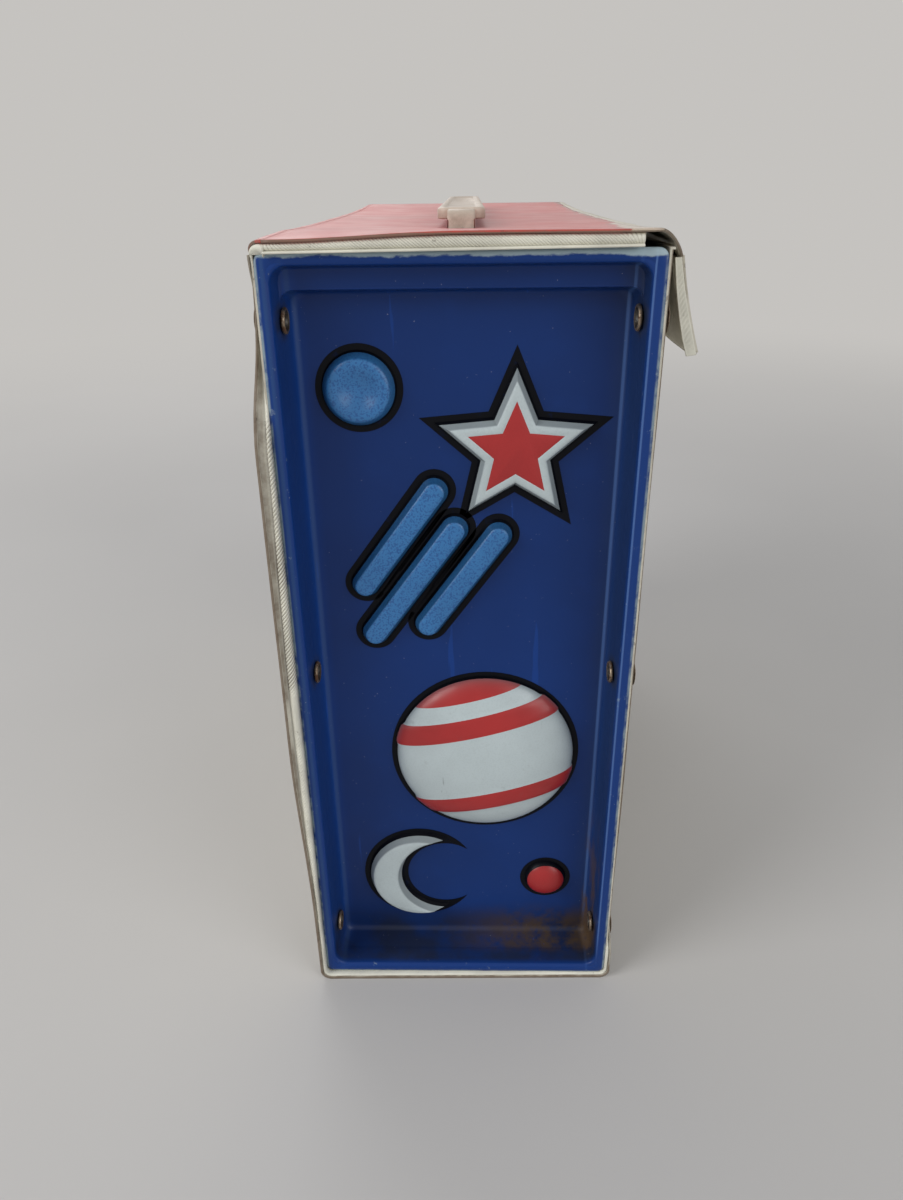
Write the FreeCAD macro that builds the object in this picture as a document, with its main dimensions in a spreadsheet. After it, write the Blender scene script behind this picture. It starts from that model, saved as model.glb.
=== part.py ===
import FreeCAD, Part
import math
import os
import Sketcher

from FreeCAD import Placement, Rotation, Vector

# Vinyl lunch box: card-stiffened vinyl wrapped round two vacuum-formed end trays, with a fold-back
# lid, a snap-down front flap and a strap handle that slides through the lid.
# X runs from back to front, Y along the case, Z up from the face it stands on.

doc = FreeCAD.newDocument("LunchBox")
sheet = doc.addObject("Spreadsheet::Sheet", "Sizes")

SIZES = {
    # end trays
    "tray_width": 100, "tray_height": 243, "tray_corner": 4.5, "tray_rim": 3.2, "tray_sheet": 1.0,
    "tray_depth": 15, "tray_draft": 7, "tray_setback": 3, "rim_bend": 1.0, "panel_bend": 1.6,
    "lintel_drop": 8.6, "lintel_depth": 7,
    # embossed relief on the trays
    "relief_height": 3.6, "relief_draft": 28,
    "planet_x": 7, "planet_fall": 35.5, "planet_radius": 29, "planet_height": 8,
    "star_x": 15, "star_drop": 53, "star_radius": 23, "star_waist": 10.5,
    "tail_slant": 234, "tail_length": 42, "tail_width": 8.5, "tail_pitch": 11.5, "tail_gap": 6.5,
    "tail_stagger": 6,
    "moon_x": -16, "moon_rise": 33, "moon_radius": 18, "moon_bite": 15.5, "moon_shift": 9,
    "disc_x": -28, "disc_drop": 36, "disc_radius": 10, "disc_lip": 1.4, "disc_bowl": 4,
    "disc_shelf": 1.9, "disc_dish": 2.4,
    "dot_x": 29, "dot_rise": 31, "dot_radius": 7,
    # case walls
    "case_length": 262, "skin": 0.7, "board": 0.8, "lining": 0.5,
    "bottom_fold": 4, "lining_fold": 1.5, "welt_round": 0.4,
    # lid
    "lid_board": 2.8, "lid_gap": 0.3, "hinge_radius": 5, "lid_step": 6.5,
    # flap
    "fold_radius": 8, "flap_board": 0.7, "flap_length": 22, "flap_splay": 8, "flap_gap": 0.3,
    # rivets
    "rivet_inset": 7.5, "rivet_margin": 17, "rivet_shank": 3.0, "rivet_fit": 0.1,
    "rivet_head": 8.4, "rivet_head_height": 0.6, "rivet_crown": 4.6,
    "rivet_clinch": 6.8, "rivet_clinch_height": 0.9, "rivet_roll": 5,
    "rivet_seat": 0.03,
    # handle
    "leg_inset": 39, "leg_width": 7.6, "leg_thickness": 2.4, "leg_bend": 2.1, "slot_fit": 0.4,
    "neck_reach": 6, "neck_rise": 0.2,
    "grip_width": 13.5, "grip_height": 3.0, "grip_wall": 1.8, "grip_roof": 1.6, "grip_lift": 0.8,
    "grip_corner": 3, "grip_round": 0.9, "handle_travel": 20, "stop_gap": 0.3,
    "foot_lip": 0.7, "foot_height": 1.2, "keeper_lip": 3.6, "keeper_height": 2, "keeper_fit": 0.1,
    "plate_lip": 5, "plate_height": 1,
    # press stud
    "snap_drop": 12, "cap_diameter": 13, "cap_height": 2.2, "cap_edge": 0.7, "cap_crown": 7.6,
    "cap_shoulder": 11, "cap_shoulder_height": 1.6,
    "cap_shank": 2.9, "socket_diameter": 10, "socket_mouth": 5, "socket_base": 0.3,
    "snap_fit": 0.1,
    "stud_flange": 9, "stud_flange_height": 0.5, "stud_neck": 3, "stud_head": 3.8, "stud_engage": 0.6,
    "stud_head_height": 0.8, "stud_taper": 0.4, "post_flange": 10, "post_height": 0.8, "post_crown": 8,
    "post_edge": 0.3,
}

for row, (alias, value) in enumerate(SIZES.items(), start=1):
    sheet.set(f"A{row}", alias)
    sheet.set(f"B{row}", str(value))
    sheet.setAlias(f"B{row}", alias)
doc.recompute()

# Places that several pieces share, as expressions on the sheet.
WALL = "(Sizes.skin + Sizes.board + Sizes.lining)"
INNER = "(Sizes.tray_width / 2)"
BOARD_IN = f"({INNER} + Sizes.lining)"
OUTER = f"({INNER} + {WALL})"
SKIN_IN = f"({OUTER} - Sizes.skin)"
END = "(Sizes.case_length / 2)"
RIM = f"({END} - Sizes.tray_setback)"
FLOOR_TOP = f"({WALL} - Sizes.lining)"
TRAY_TOP = f"({WALL} + Sizes.tray_height)"
LID_LOW = f"({TRAY_TOP} + Sizes.lid_gap)"
LID_TOP = f"({LID_LOW} + Sizes.skin + Sizes.lid_board + Sizes.lining)"
LID_SKIN = f"({LID_TOP} - Sizes.skin)"
LID_FRONT = f"({INNER} - Sizes.lid_step)"
HINGE_X = f"(Sizes.hinge_radius - {OUTER})"
HINGE_Z = f"({LID_TOP} - Sizes.hinge_radius)"
FLAP = "(Sizes.skin + Sizes.flap_board + Sizes.lining)"
FLAP_SHUT = f"({OUTER} + Sizes.rivet_head_height + Sizes.flap_gap)"
FOLD_LINE = "(Sizes.fold_radius - Sizes.skin / 2)"
FOLD_MID = "((90 + Sizes.flap_splay) / 2)"
FOLD_SWING = f"({FOLD_LINE} * (cos({FOLD_MID} - Sizes.flap_splay) - cos({FOLD_MID})))"
FOLD_X = f"({FLAP_SHUT} + {FLAP} - Sizes.fold_radius + {FOLD_SWING})"
FOLD_Z = f"({LID_TOP} - Sizes.fold_radius)"
FLAP_IN = f"(Sizes.fold_radius - {FLAP})"
FLAP_SKIN = "(Sizes.fold_radius - Sizes.skin)"
SHUT_DROP = f"({FOLD_LINE} * (sin({FOLD_MID}) - sin({FOLD_MID} - Sizes.flap_splay)))"
SNAP_Z = f"({FOLD_Z} + {SHUT_DROP} - Sizes.snap_drop)"
STUD_TIP = f"({FLAP_SHUT} - {OUTER} + Sizes.stud_engage)"
LEG_Y = f"({END} - Sizes.leg_inset)"
GRIP_LOW = f"({LID_TOP} + Sizes.grip_lift)"
GRIP_HALF = f"({LEG_Y} - Sizes.neck_reach)"
PLATE_LOW = f"({LID_LOW} - Sizes.plate_height)"
KEEPER_TOP = f"({PLATE_LOW} - Sizes.stop_gap - Sizes.handle_travel)"
KEEPER_LOW = f"({KEEPER_TOP} - Sizes.keeper_height)"
FOOT_LOW = f"({KEEPER_LOW} - Sizes.foot_height)"
STAR_Y = "(Sizes.tray_height - Sizes.star_drop)"
PLANET_Y = "(Sizes.tray_height / 2 - Sizes.planet_fall)"
DISC_Y = "(Sizes.tray_height - Sizes.disc_drop)"
RIVET_FACE = f"({INNER} - Sizes.tray_rim - Sizes.rivet_inset * tan(Sizes.tray_draft))"
RIVET_SEAT = f"({RIVET_FACE} - Sizes.rivet_clinch / 2 * tan(Sizes.tray_draft) - Sizes.rivet_seat)"
RIVET_GRIP = f"({OUTER} - {RIVET_SEAT})"

TOUCH = 1e-5
STAR_ARMS = 5
DOME_RINGS = 4
UPRIGHT = Rotation(Vector(1, 0, 0), 90)
HALF_TURN = Rotation(Vector(0, 0, 1), 180)
NODES = []


def size(expression):
    """The value of an expression on the sheet, in millimetres or degrees."""
    return float(sheet.evalExpression(str(expression)))


def node(obj, label):
    """Name an object as one of the pieces that are written out."""
    obj.Label = label
    NODES.append(obj)
    return obj


def place(obj, x, y, z, rotation=None):
    """Bind an object's place to the sheet, with a fixed turn."""
    obj.Placement = Placement(Vector(), rotation or Rotation())
    for axis, expression in (("x", x), ("y", y), ("z", z)):
        obj.setExpression(f"Placement.Base.{axis}", str(expression))
    return obj


def place_on_flap(obj, out, along, up, upright=True):
    """Place an object in the flap's own axes: out from the fold, along the case, up the flap."""
    splay = "Sizes.flap_splay"
    x = f"{FOLD_X} + ({out}) * cos({splay}) - ({up}) * sin({splay})"
    z = f"{FOLD_Z} + ({out}) * sin({splay}) + ({up}) * cos({splay})"
    place(obj, x, along, z, Rotation(Vector(0, -1, 0), 1))
    turn = splay if upright else f"{splay} - 90"
    obj.setExpression("Placement.Rotation.Angle", turn)
    return obj


def block(name, low, high, placing=place):
    """A box between two corners that are given as expressions."""
    obj = doc.addObject("Part::Box", name)
    for side, start, stop in zip(("Length", "Width", "Height"), low, high):
        obj.setExpression(side, f"({stop}) - ({start})")
    return placing(obj, *low)


def compound(name, members):
    obj = doc.addObject("Part::Compound", name)
    obj.Links = members
    return obj


def cut(name, base, tool):
    obj = doc.addObject("Part::Cut", name)
    obj.Base = base
    obj.Tool = tool
    return obj


def new_body(name):
    return doc.addObject("PartDesign::Body", name)


def new_sketch(body, name, plane, offset=None, centre=None):
    """A sketch on one of the body's own origin planes, lifted along that plane's normal and centred."""
    sketch = body.newObject("Sketcher::SketchObject", name)
    support = [item for item in body.Origin.OriginFeatures if item.Role == plane]
    sketch.AttachmentSupport = [(support[0], "")]
    sketch.MapMode = "FlatFace"
    if offset:
        sketch.setExpression("AttachmentOffset.Base.z", offset)
    if centre:
        sketch.setExpression("AttachmentOffset.Base.x", centre)
    return sketch


def bind(sketch, kind, *arguments):
    """Add a driving constraint whose last argument is an expression."""
    index = sketch.addConstraint(Sketcher.Constraint(kind, *arguments[:-1], size(arguments[-1])))
    sketch.setExpression(f"Constraints[{index}]", str(arguments[-1]))


def pin_point(sketch, item, end, x, y):
    """Hold a point of a sketch at a distance from its origin."""
    bind(sketch, "DistanceX", -1, 1, item, end, x)
    bind(sketch, "DistanceY", -1, 1, item, end, y)


def draw_polygon(sketch, points):
    corners = [Vector(size(x), size(y), 0) for x, y in points]
    count = len(corners)
    for index in range(count):
        sketch.addGeometry(Part.LineSegment(corners[index], corners[(index + 1) % count]), False)
    for index in range(count):
        sketch.addConstraint(Sketcher.Constraint("Coincident", index, 2, (index + 1) % count, 1))
    for index, (x, y) in enumerate(points):
        pin_point(sketch, index, 1, x, y)


def draw_circle(sketch, x, y, radius):
    centre = Vector(size(x), size(y), 0)
    sketch.addGeometry(Part.Circle(centre, Vector(0, 0, 1), size(radius)), False)
    pin_point(sketch, 0, 3, x, y)
    bind(sketch, "Radius", 0, radius)


def draw_rounded(sketch, left, right, bottom, top, radius):
    """A rectangle with rounded corners, its sides and radius bound to the sheet."""
    x_low, x_high, y_low, y_high, bend = [size(item) for item in (left, right, bottom, top, radius)]
    spans = ((x_high - bend, y_low, -90), (x_high, y_high - bend, 0),
             (x_low + bend, y_high, 90), (x_low, y_low + bend, 180))
    start = Vector(x_low + bend, y_low, 0)
    for x, y, angle in spans:
        stop = Vector(x, y, 0)
        sketch.addGeometry(Part.LineSegment(start, stop), False)
        turn = math.radians(angle)
        centre = stop - Vector(math.cos(turn), math.sin(turn), 0) * bend
        circle = Part.Circle(centre, Vector(0, 0, 1), bend)
        sketch.addGeometry(Part.ArcOfCircle(circle, turn, turn + math.pi / 2), False)
        start = centre + Vector(-math.sin(turn), math.cos(turn), 0) * bend
    for index in range(8):
        sketch.addConstraint(Sketcher.Constraint("Tangent", index, 2, (index + 1) % 8, 1))
    for index, kind in ((0, "Horizontal"), (2, "Vertical"), (4, "Horizontal"), (6, "Vertical")):
        sketch.addConstraint(Sketcher.Constraint(kind, index))
    for index in (3, 5, 7):
        sketch.addConstraint(Sketcher.Constraint("Equal", 1, index))
    bind(sketch, "Radius", 1, radius)
    bind(sketch, "DistanceY", -1, 1, 0, 1, bottom)
    bind(sketch, "DistanceX", -1, 1, 2, 1, right)
    bind(sketch, "DistanceY", -1, 1, 4, 1, top)
    bind(sketch, "DistanceX", -1, 1, 6, 1, left)


def draw_slot(sketch, ends, radius):
    """A straight slot with half-round ends about two points."""
    first, last = [Vector(size(x), size(y), 0) for x, y in ends]
    reach = size(radius)
    course = (last - first).normalize()
    aside = Vector(-course.y, course.x, 0) * reach
    heading = math.atan2(course.y, course.x)
    for middle, far, turn in ((first, last, -math.pi / 2), (last, first, math.pi / 2)):
        side = -aside if middle is first else aside
        sketch.addGeometry(Part.LineSegment(middle + side, far + side), False)
        circle = Part.Circle(far, Vector(0, 0, 1), reach)
        sketch.addGeometry(Part.ArcOfCircle(circle, heading + turn, heading + turn + math.pi), False)
    for index in range(4):
        sketch.addConstraint(Sketcher.Constraint("Tangent", index, 2, (index + 1) % 4, 1))
    sketch.addConstraint(Sketcher.Constraint("Equal", 1, 3))
    pin_point(sketch, 1, 3, *ends[1])
    pin_point(sketch, 3, 3, *ends[0])
    bind(sketch, "Radius", 1, radius)


def draw_crescent(sketch, x, y, radius, bite, shift):
    """A moon: an outer arc closed by a smaller arc whose centre is shifted to the right."""
    outer, inner, step = size(radius), size(bite), size(shift)
    reach = (step * step + outer * outer - inner * inner) / (2 * step)
    tip = math.acos(reach / outer)
    inner_tip = math.acos((reach - step) / inner)
    normal = Vector(0, 0, 1)
    centre = Vector(size(x), size(y), 0)
    back = Part.Circle(centre, normal, outer)
    front = Part.Circle(centre + Vector(step, 0, 0), normal, inner)
    sketch.addGeometry(Part.ArcOfCircle(back, tip, 2 * math.pi - tip), False)
    sketch.addGeometry(Part.ArcOfCircle(front, inner_tip, 2 * math.pi - inner_tip), False)
    for end in (1, 2):
        sketch.addConstraint(Sketcher.Constraint("Coincident", 0, end, 1, end))
    pin_point(sketch, 0, 3, x, y)
    pin_point(sketch, 1, 3, f"{x} + {shift}", y)
    bind(sketch, "Radius", 0, radius)
    bind(sketch, "Radius", 1, bite)


def pad(body, name, sketch, length, reverse=False, both_ways=False, taper=None):
    feature = body.newObject("PartDesign::Pad", name)
    feature.Profile = sketch
    feature.setExpression("Length", length)
    feature.Reversed = reverse
    if both_ways:
        feature.SideType = "Symmetric"
    if taper:
        feature.setExpression("TaperAngle", taper)
    return feature


def pocket(body, name, sketch, length, reverse=False, taper=None):
    feature = body.newObject("PartDesign::Pocket", name)
    feature.Profile = sketch
    feature.setExpression("Length", length)
    feature.Reversed = reverse
    if taper:
        feature.setExpression("TaperAngle", taper)
    return feature


def round_edges(body, name, radius, chosen):
    """Fillet the edges of the body's last feature for which chosen(edge) is true."""
    doc.recompute()
    base = body.Tip
    edges = [f"Edge{number}" for number, edge in enumerate(base.Shape.Edges, start=1) if chosen(edge)]
    if not edges:
        raise RuntimeError(f"{name}: no edges to round")
    feature = body.newObject("PartDesign::Fillet", name)
    feature.Base = (base, edges)
    feature.setExpression("Radius", str(radius))
    return feature


def along_y(x, z):
    """Chooser of the straight edges that run along the case at one place of the section."""
    spot = Vector(size(x), 0, size(z))

    def chosen(edge):
        ends = [Vector(vertex.X, 0, vertex.Z) for vertex in edge.Vertexes]
        return len(ends) == 2 and all(end.distanceToPoint(spot) < TOUCH for end in ends)

    return chosen


def at_height(z):
    """Chooser of the edges that lie flat at one height of the body's own frame."""
    level = size(z)

    def chosen(edge):
        box = edge.BoundBox
        return abs(box.ZMin - level) < TOUCH and abs(box.ZMax - level) < TOUCH

    return chosen


def extruded(name, points, length, folds=()):
    """A section in X and Z, drawn out both ways along Y, with rounded folds (x, z, radius)."""
    body = new_body(name)
    sketch = new_sketch(body, f"{name}_section", "XZ_Plane")
    draw_polygon(sketch, points)
    pad(body, f"{name}_run", sketch, length, both_ways=True)
    for index, (x, z, radius) in enumerate(folds):
        round_edges(body, f"{name}_fold_{index}", radius, along_y(x, z))
    return body


def revolve(body, name, sketch, kind="Revolution"):
    """Turn a half section about its sketch's upright axis, adding it or, as a Groove, taking it away."""
    feature = body.newObject(f"PartDesign::{kind}", name)
    feature.Profile = sketch
    feature.ReferenceAxis = (sketch, ["V_Axis"])
    feature.Angle = 360
    return feature


def turned(name, points):
    """A round piece: its half section, as radius and height, turned about the Z axis."""
    body = new_body(name)
    sketch = new_sketch(body, f"{name}_half", "XZ_Plane")
    draw_polygon(sketch, points)
    revolve(body, f"{name}_turn", sketch)
    return body


def round_bore(name, radius, length, x, y, z, rotation):
    obj = doc.addObject("Part::Cylinder", name)
    obj.setExpression("Radius", radius)
    obj.setExpression("Height", length)
    return place(obj, x, y, z, rotation)


# Embossed motifs of the end trays, drawn in the tray's own frame.

def star_points():
    """Corners of the star, by turns on its outer and its inner circle, starting at the top."""
    points = []
    for index in range(2 * STAR_ARMS):
        angle = 90 + 180 * index / STAR_ARMS
        reach = "Sizes.star_waist" if index % 2 else "Sizes.star_radius"
        points.append((f"Sizes.star_x + {reach} * cos({angle})", f"{STAR_Y} + {reach} * sin({angle})"))
    return points


def draw_tail(sketch, lane):
    """One round-ended streak of the shooting star's tail, slanting down to the left."""
    cosine, sine = "cos(Sizes.tail_slant)", "sin(Sizes.tail_slant)"
    aside = f"{lane} * Sizes.tail_pitch"
    start = f"(Sizes.star_radius + Sizes.tail_gap - {abs(lane)} * Sizes.tail_stagger)"
    stop = f"({start} + Sizes.tail_length - {abs(lane)} * Sizes.tail_stagger)"
    ends = []
    for reach in (start, stop):
        x = f"Sizes.star_x + {reach} * {cosine} - {aside} * {sine}"
        y = f"{STAR_Y} + {reach} * {sine} + {aside} * {cosine}"
        ends.append((x, y))
    draw_slot(sketch, ends, "Sizes.tail_width / 2")


def draw_moon(sketch):
    draw_crescent(sketch, "Sizes.moon_x", "Sizes.moon_rise", "Sizes.moon_radius", "Sizes.moon_bite",
                  "Sizes.moon_shift")


def dome(radius, height):
    """Half section of a dome: chords of a quarter ellipse from its foot to its top."""
    points = []
    for ring in range(DOME_RINGS + 1):
        angle = 90 * ring / DOME_RINGS
        points.append((f"{radius} * cos({angle})", f"{height} * sin({angle})"))
    return points


def dish():
    """Half section of the disc: a raised lip round a shallow bowl."""
    lip = "(Sizes.disc_radius - Sizes.relief_height * tan(Sizes.relief_draft))"
    top = "Sizes.relief_height"
    return [("Sizes.disc_radius", "0"), (lip, top), (f"{lip} - Sizes.disc_lip", top),
            ("Sizes.disc_bowl", f"{top} - Sizes.disc_shelf"), ("0", f"{top} - Sizes.disc_dish")]


FLAT_MOTIFS = {
    "star": lambda sketch: draw_polygon(sketch, star_points()),
    "tail_left": lambda sketch: draw_tail(sketch, -1),
    "tail_middle": lambda sketch: draw_tail(sketch, 0),
    "tail_right": lambda sketch: draw_tail(sketch, 1),
    "moon": draw_moon,
}
ROUND_MOTIFS = {
    "planet": ("Sizes.planet_x", PLANET_Y, dome("Sizes.planet_radius", "Sizes.planet_height")),
    "disc": ("Sizes.disc_x", DISC_Y, dish()),
    "dot": ("Sizes.dot_x", "Sizes.dot_rise", dome("Sizes.dot_radius", "Sizes.relief_height")),
}


def emboss(body, name, level, hollow):
    """Raise the motifs from one level of a tray, or hollow out their backs."""
    for motif, draw in FLAT_MOTIFS.items():
        sketch = new_sketch(body, f"{name}_{motif}_outline", "XY_Plane", level)
        draw(sketch)
        if hollow:
            pocket(body, f"{name}_{motif}", sketch, "Sizes.relief_height", reverse=True,
                   taper="-Sizes.relief_draft")
        else:
            pad(body, f"{name}_{motif}", sketch, "Sizes.relief_height", taper="-Sizes.relief_draft")
    for motif, (x, y, section) in ROUND_MOTIFS.items():
        sketch = new_sketch(body, f"{name}_{motif}_half", "XZ_Plane", f"-{y}", x)
        points = [(radius, f"{level} + {height}") for radius, height in section]
        draw_polygon(sketch, points + [("0", level)])
        revolve(body, f"{name}_{motif}", sketch, "Groove" if hollow else "Revolution")


def draw_recess(sketch, inset, drop):
    """The tray's opening: its outline set in from the rim, its top edge lowered by a drop."""
    draw_rounded(sketch, f"{inset} - {INNER}", f"{INNER} - {inset}", inset,
                 f"Sizes.tray_height - {inset} - {drop}", "Sizes.tray_corner")


def end_tray(name, y, rotation):
    """A vacuum-formed tray: rim, stepped recess and hollow-backed relief, all of one sheet.

    In its own frame the rim faces +Z and the recess goes down; the sheet thins on the steep
    sides of the relief, as a formed sheet does.
    """
    body = new_body(f"{name}_form")
    lower_edge = "(Sizes.lintel_drop - Sizes.tray_rim)"
    steps = (("lintel", "Sizes.lintel_depth", "0"), ("panel", "Sizes.tray_depth", lower_edge))

    rim = new_sketch(body, f"{name}_rim", "XY_Plane")
    draw_rounded(rim, f"-{INNER}", INNER, "0", "Sizes.tray_height", "Sizes.tray_corner")
    pad(body, f"{name}_flange", rim, "Sizes.tray_sheet", reverse=True)
    for step, depth, drop in steps:
        sketch = new_sketch(body, f"{name}_{step}_back", "XY_Plane")
        draw_recess(sketch, "(Sizes.tray_rim - Sizes.tray_sheet)", drop)
        pad(body, f"{name}_{step}_shell", sketch, f"{depth} + Sizes.tray_sheet", reverse=True,
            taper="-Sizes.tray_draft")
    for step, depth, drop in steps:
        sketch = new_sketch(body, f"{name}_{step}_front", "XY_Plane")
        draw_recess(sketch, "Sizes.tray_rim", drop)
        pocket(body, f"{name}_{step}_recess", sketch, depth, taper="-Sizes.tray_draft")
    doc.recompute()

    def rim_mouth(edge):
        box = edge.BoundBox
        within_sides = max(box.XMax, -box.XMin) < size(INNER) - TOUCH
        within_ends = box.YMin > TOUCH and box.YMax < size("Sizes.tray_height") - TOUCH
        return at_height("0")(edge) and within_sides and within_ends

    round_edges(body, f"{name}_mouth", "Sizes.rim_bend", rim_mouth)
    round_edges(body, f"{name}_heel", "Sizes.panel_bend", at_height("-Sizes.tray_depth"))
    emboss(body, f"{name}_face", "-Sizes.tray_depth", hollow=False)
    emboss(body, f"{name}_rear", "(-Sizes.tray_depth - Sizes.tray_sheet)", hollow=True)
    place(body, 0, y, WALL, rotation)
    node(cut(f"{name}_drilled", body, rivet_bores), name)


def rivet_places():
    """Each rivet as an expression for its place along the case and up it, and its side."""
    middle = f"{WALL} + Sizes.tray_height / 2"
    heights = (f"{WALL} + Sizes.rivet_margin", middle, f"{TRAY_TOP} - Sizes.rivet_margin")
    for end in (-1, 1):
        for side in (-1, 1):
            for height in heights:
                yield end, side, f"{end} * ({RIM} - Sizes.rivet_inset)", height


def outward(side):
    """The turn that points a round piece's own Z along +X or -X."""
    return Rotation(Vector(0, 1, 0), 90 * side)


def make_rivet_bores():
    bores = []
    length = f"{OUTER} - {INNER} + Sizes.tray_rim + Sizes.tray_depth * tan(Sizes.tray_draft)"
    for end, side, y, z in rivet_places():
        name = f"rivet_bore_{len(bores)}"
        start = f"{side} * ({OUTER} - ({length}))"
        bores.append(round_bore(name, "Sizes.rivet_shank / 2 + Sizes.rivet_fit", length, start, y, z,
                                outward(side)))
    return compound("rivet_bores", bores)


def make_rivets():
    """Rivets: a low head outside the vinyl, a clinched end inside the tray."""
    shank, head, clinch = "Sizes.rivet_shank / 2", "Sizes.rivet_head / 2", "Sizes.rivet_clinch / 2"
    seat = f"-{RIVET_GRIP}"
    tail = f"({seat} - Sizes.rivet_clinch_height)"
    top = "Sizes.rivet_head_height"
    pattern = turned("rivet", [
        ("0", tail), ("Sizes.rivet_roll / 2", tail), (clinch, seat), (shank, seat), (shank, "0"), (head, "0"),
        ("Sizes.rivet_crown / 2", top), ("0", top)])
    doc.recompute()
    groups = {-1: [], 1: []}
    for end, side, y, z in rivet_places():
        solid = pattern.Shape.copy()
        spot = Vector(side * size(OUTER), size(y), size(z))
        solid.Placement = Placement(spot, outward(side))
        groups[end].append(solid)
    for end, label in ((-1, "near_tray_rivets"), (1, "far_tray_rivets")):
        group = doc.addObject("Part::Feature", label)
        group.Shape = Part.makeCompound(groups[end])
        node(group, label)


def make_case_walls():
    """Outer vinyl, boards, lining and end welts of the three fixed walls."""
    folds = [(OUTER, "0", "Sizes.bottom_fold"), (SKIN_IN, "Sizes.skin", "Sizes.bottom_fold - Sizes.skin")]
    both = [(f"{sign} * {x}", z, radius) for x, z, radius in folds for sign in (-1, 1)]
    skin = extruded("case_skin_sheet", [
        (f"-{OUTER}", HINGE_Z), (f"-{OUTER}", "0"), (OUTER, "0"), (OUTER, TRAY_TOP),
        (SKIN_IN, TRAY_TOP), (SKIN_IN, "Sizes.skin"), (f"-{SKIN_IN}", "Sizes.skin"),
        (f"-{SKIN_IN}", HINGE_Z),
    ], "Sizes.case_length", both)
    node(cut("case_skin_drilled", skin, wall_bores), "case_skin")

    folds = [(INNER, WALL, "Sizes.lining_fold"),
             (BOARD_IN, FLOOR_TOP, "Sizes.lining_fold + Sizes.lining")]
    both = [(f"{sign} * {x}", z, radius) for x, z, radius in folds for sign in (-1, 1)]
    front_lip, back_lip = f"{TRAY_TOP} - Sizes.lining", f"{HINGE_Z} - Sizes.lining"
    lining = extruded("case_lining_sheet", [
        (f"-{SKIN_IN}", HINGE_Z), (f"-{INNER}", HINGE_Z), (f"-{INNER}", WALL), (INNER, WALL),
        (INNER, TRAY_TOP), (SKIN_IN, TRAY_TOP), (SKIN_IN, front_lip), (BOARD_IN, front_lip),
        (BOARD_IN, FLOOR_TOP), (f"-{BOARD_IN}", FLOOR_TOP), (f"-{BOARD_IN}", back_lip),
        (f"-{SKIN_IN}", back_lip),
    ], f"2 * {RIM}", both)
    node(cut("case_lining_drilled", lining, wall_bores), "case_lining")

    flat = f"({OUTER} - Sizes.bottom_fold)"
    boards = {
        "front_board": ((BOARD_IN, f"-{RIM}", "Sizes.bottom_fold"), (SKIN_IN, RIM, front_lip)),
        "back_board": ((f"-{SKIN_IN}", f"-{RIM}", "Sizes.bottom_fold"), (f"-{BOARD_IN}", RIM, back_lip)),
        "bottom_board": ((f"-{flat}", f"-{RIM}", "Sizes.skin"), (flat, RIM, FLOOR_TOP)),
    }
    for label, (low, high) in boards.items():
        node(cut(f"{label}_drilled", block(f"{label}_blank", low, high), wall_bores), label)

    for label, sign in (("near_case_welt", -1), ("far_case_welt", 1)):
        folds = [(INNER, WALL, "Sizes.lining_fold"),
                 (SKIN_IN, "Sizes.skin", "Sizes.bottom_fold - Sizes.skin")]
        both = [(f"{way} * {x}", z, radius) for x, z, radius in folds for way in (-1, 1)]
        welt = extruded(label, [
            (f"-{SKIN_IN}", HINGE_Z), (f"-{SKIN_IN}", "Sizes.skin"), (SKIN_IN, "Sizes.skin"),
            (SKIN_IN, TRAY_TOP), (INNER, TRAY_TOP), (INNER, WALL), (f"-{INNER}", WALL),
            (f"-{INNER}", HINGE_Z),
        ], "Sizes.tray_setback", both)
        place(welt, 0, f"{sign} * ({RIM} + Sizes.tray_setback / 2)", 0)
        node(welt, label)


def make_lid():
    """Lid vinyl, board, lining and end welts, slotted for the handle."""
    skin = block("lid_skin_sheet", (HINGE_X, f"-{END}", LID_SKIN), (FOLD_X, END, LID_TOP))
    node(cut("lid_skin_slotted", skin, handle_slots), "lid_skin")
    board = block("lid_board_blank", (f"{HINGE_X} + Sizes.lining", f"-{RIM}", f"{LID_LOW} + Sizes.lining"),
                  (f"{LID_FRONT} - Sizes.lining", RIM, LID_SKIN))
    node(cut("lid_board_slotted", board, handle_slots), "lid_board")
    inside = f"{LID_LOW} + Sizes.lining"
    lining = extruded("lid_lining_sheet", [
        (HINGE_X, LID_SKIN), (HINGE_X, LID_LOW), (LID_FRONT, LID_LOW), (LID_FRONT, LID_SKIN),
        (f"{LID_FRONT} - Sizes.lining", LID_SKIN), (f"{LID_FRONT} - Sizes.lining", inside),
        (f"{HINGE_X} + Sizes.lining", inside), (f"{HINGE_X} + Sizes.lining", LID_SKIN),
    ], f"2 * {RIM}")
    node(cut("lid_lining_slotted", lining, handle_slots), "lid_lining")
    for label, sign in (("near_lid_welt", -1), ("far_lid_welt", 1)):
        welt = extruded(label, [(HINGE_X, LID_LOW), (LID_FRONT, LID_LOW), (LID_FRONT, LID_SKIN),
                                (HINGE_X, LID_SKIN)], "Sizes.tray_setback",
                        [(LID_FRONT, LID_LOW, "2 * Sizes.welt_round")])
        place(welt, 0, f"{sign} * ({RIM} + Sizes.tray_setback / 2)", 0)
        node(welt, label)


def make_web(label, radius, x, z, start, turn, swing):
    """The bare vinyl of a fold: part of a ring whose axis runs along the case."""
    rings = []
    for name, reach in (("outside", radius), ("inside", f"{radius} - Sizes.skin")):
        ring = round_bore(f"{label}_{name}", reach, "Sizes.case_length", x, f"{start} * {END}", z, turn)
        rings.append(ring)
    rings[0].setExpression("Angle", swing)
    node(cut(f"{label}_sheet", *rings), label)


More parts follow.
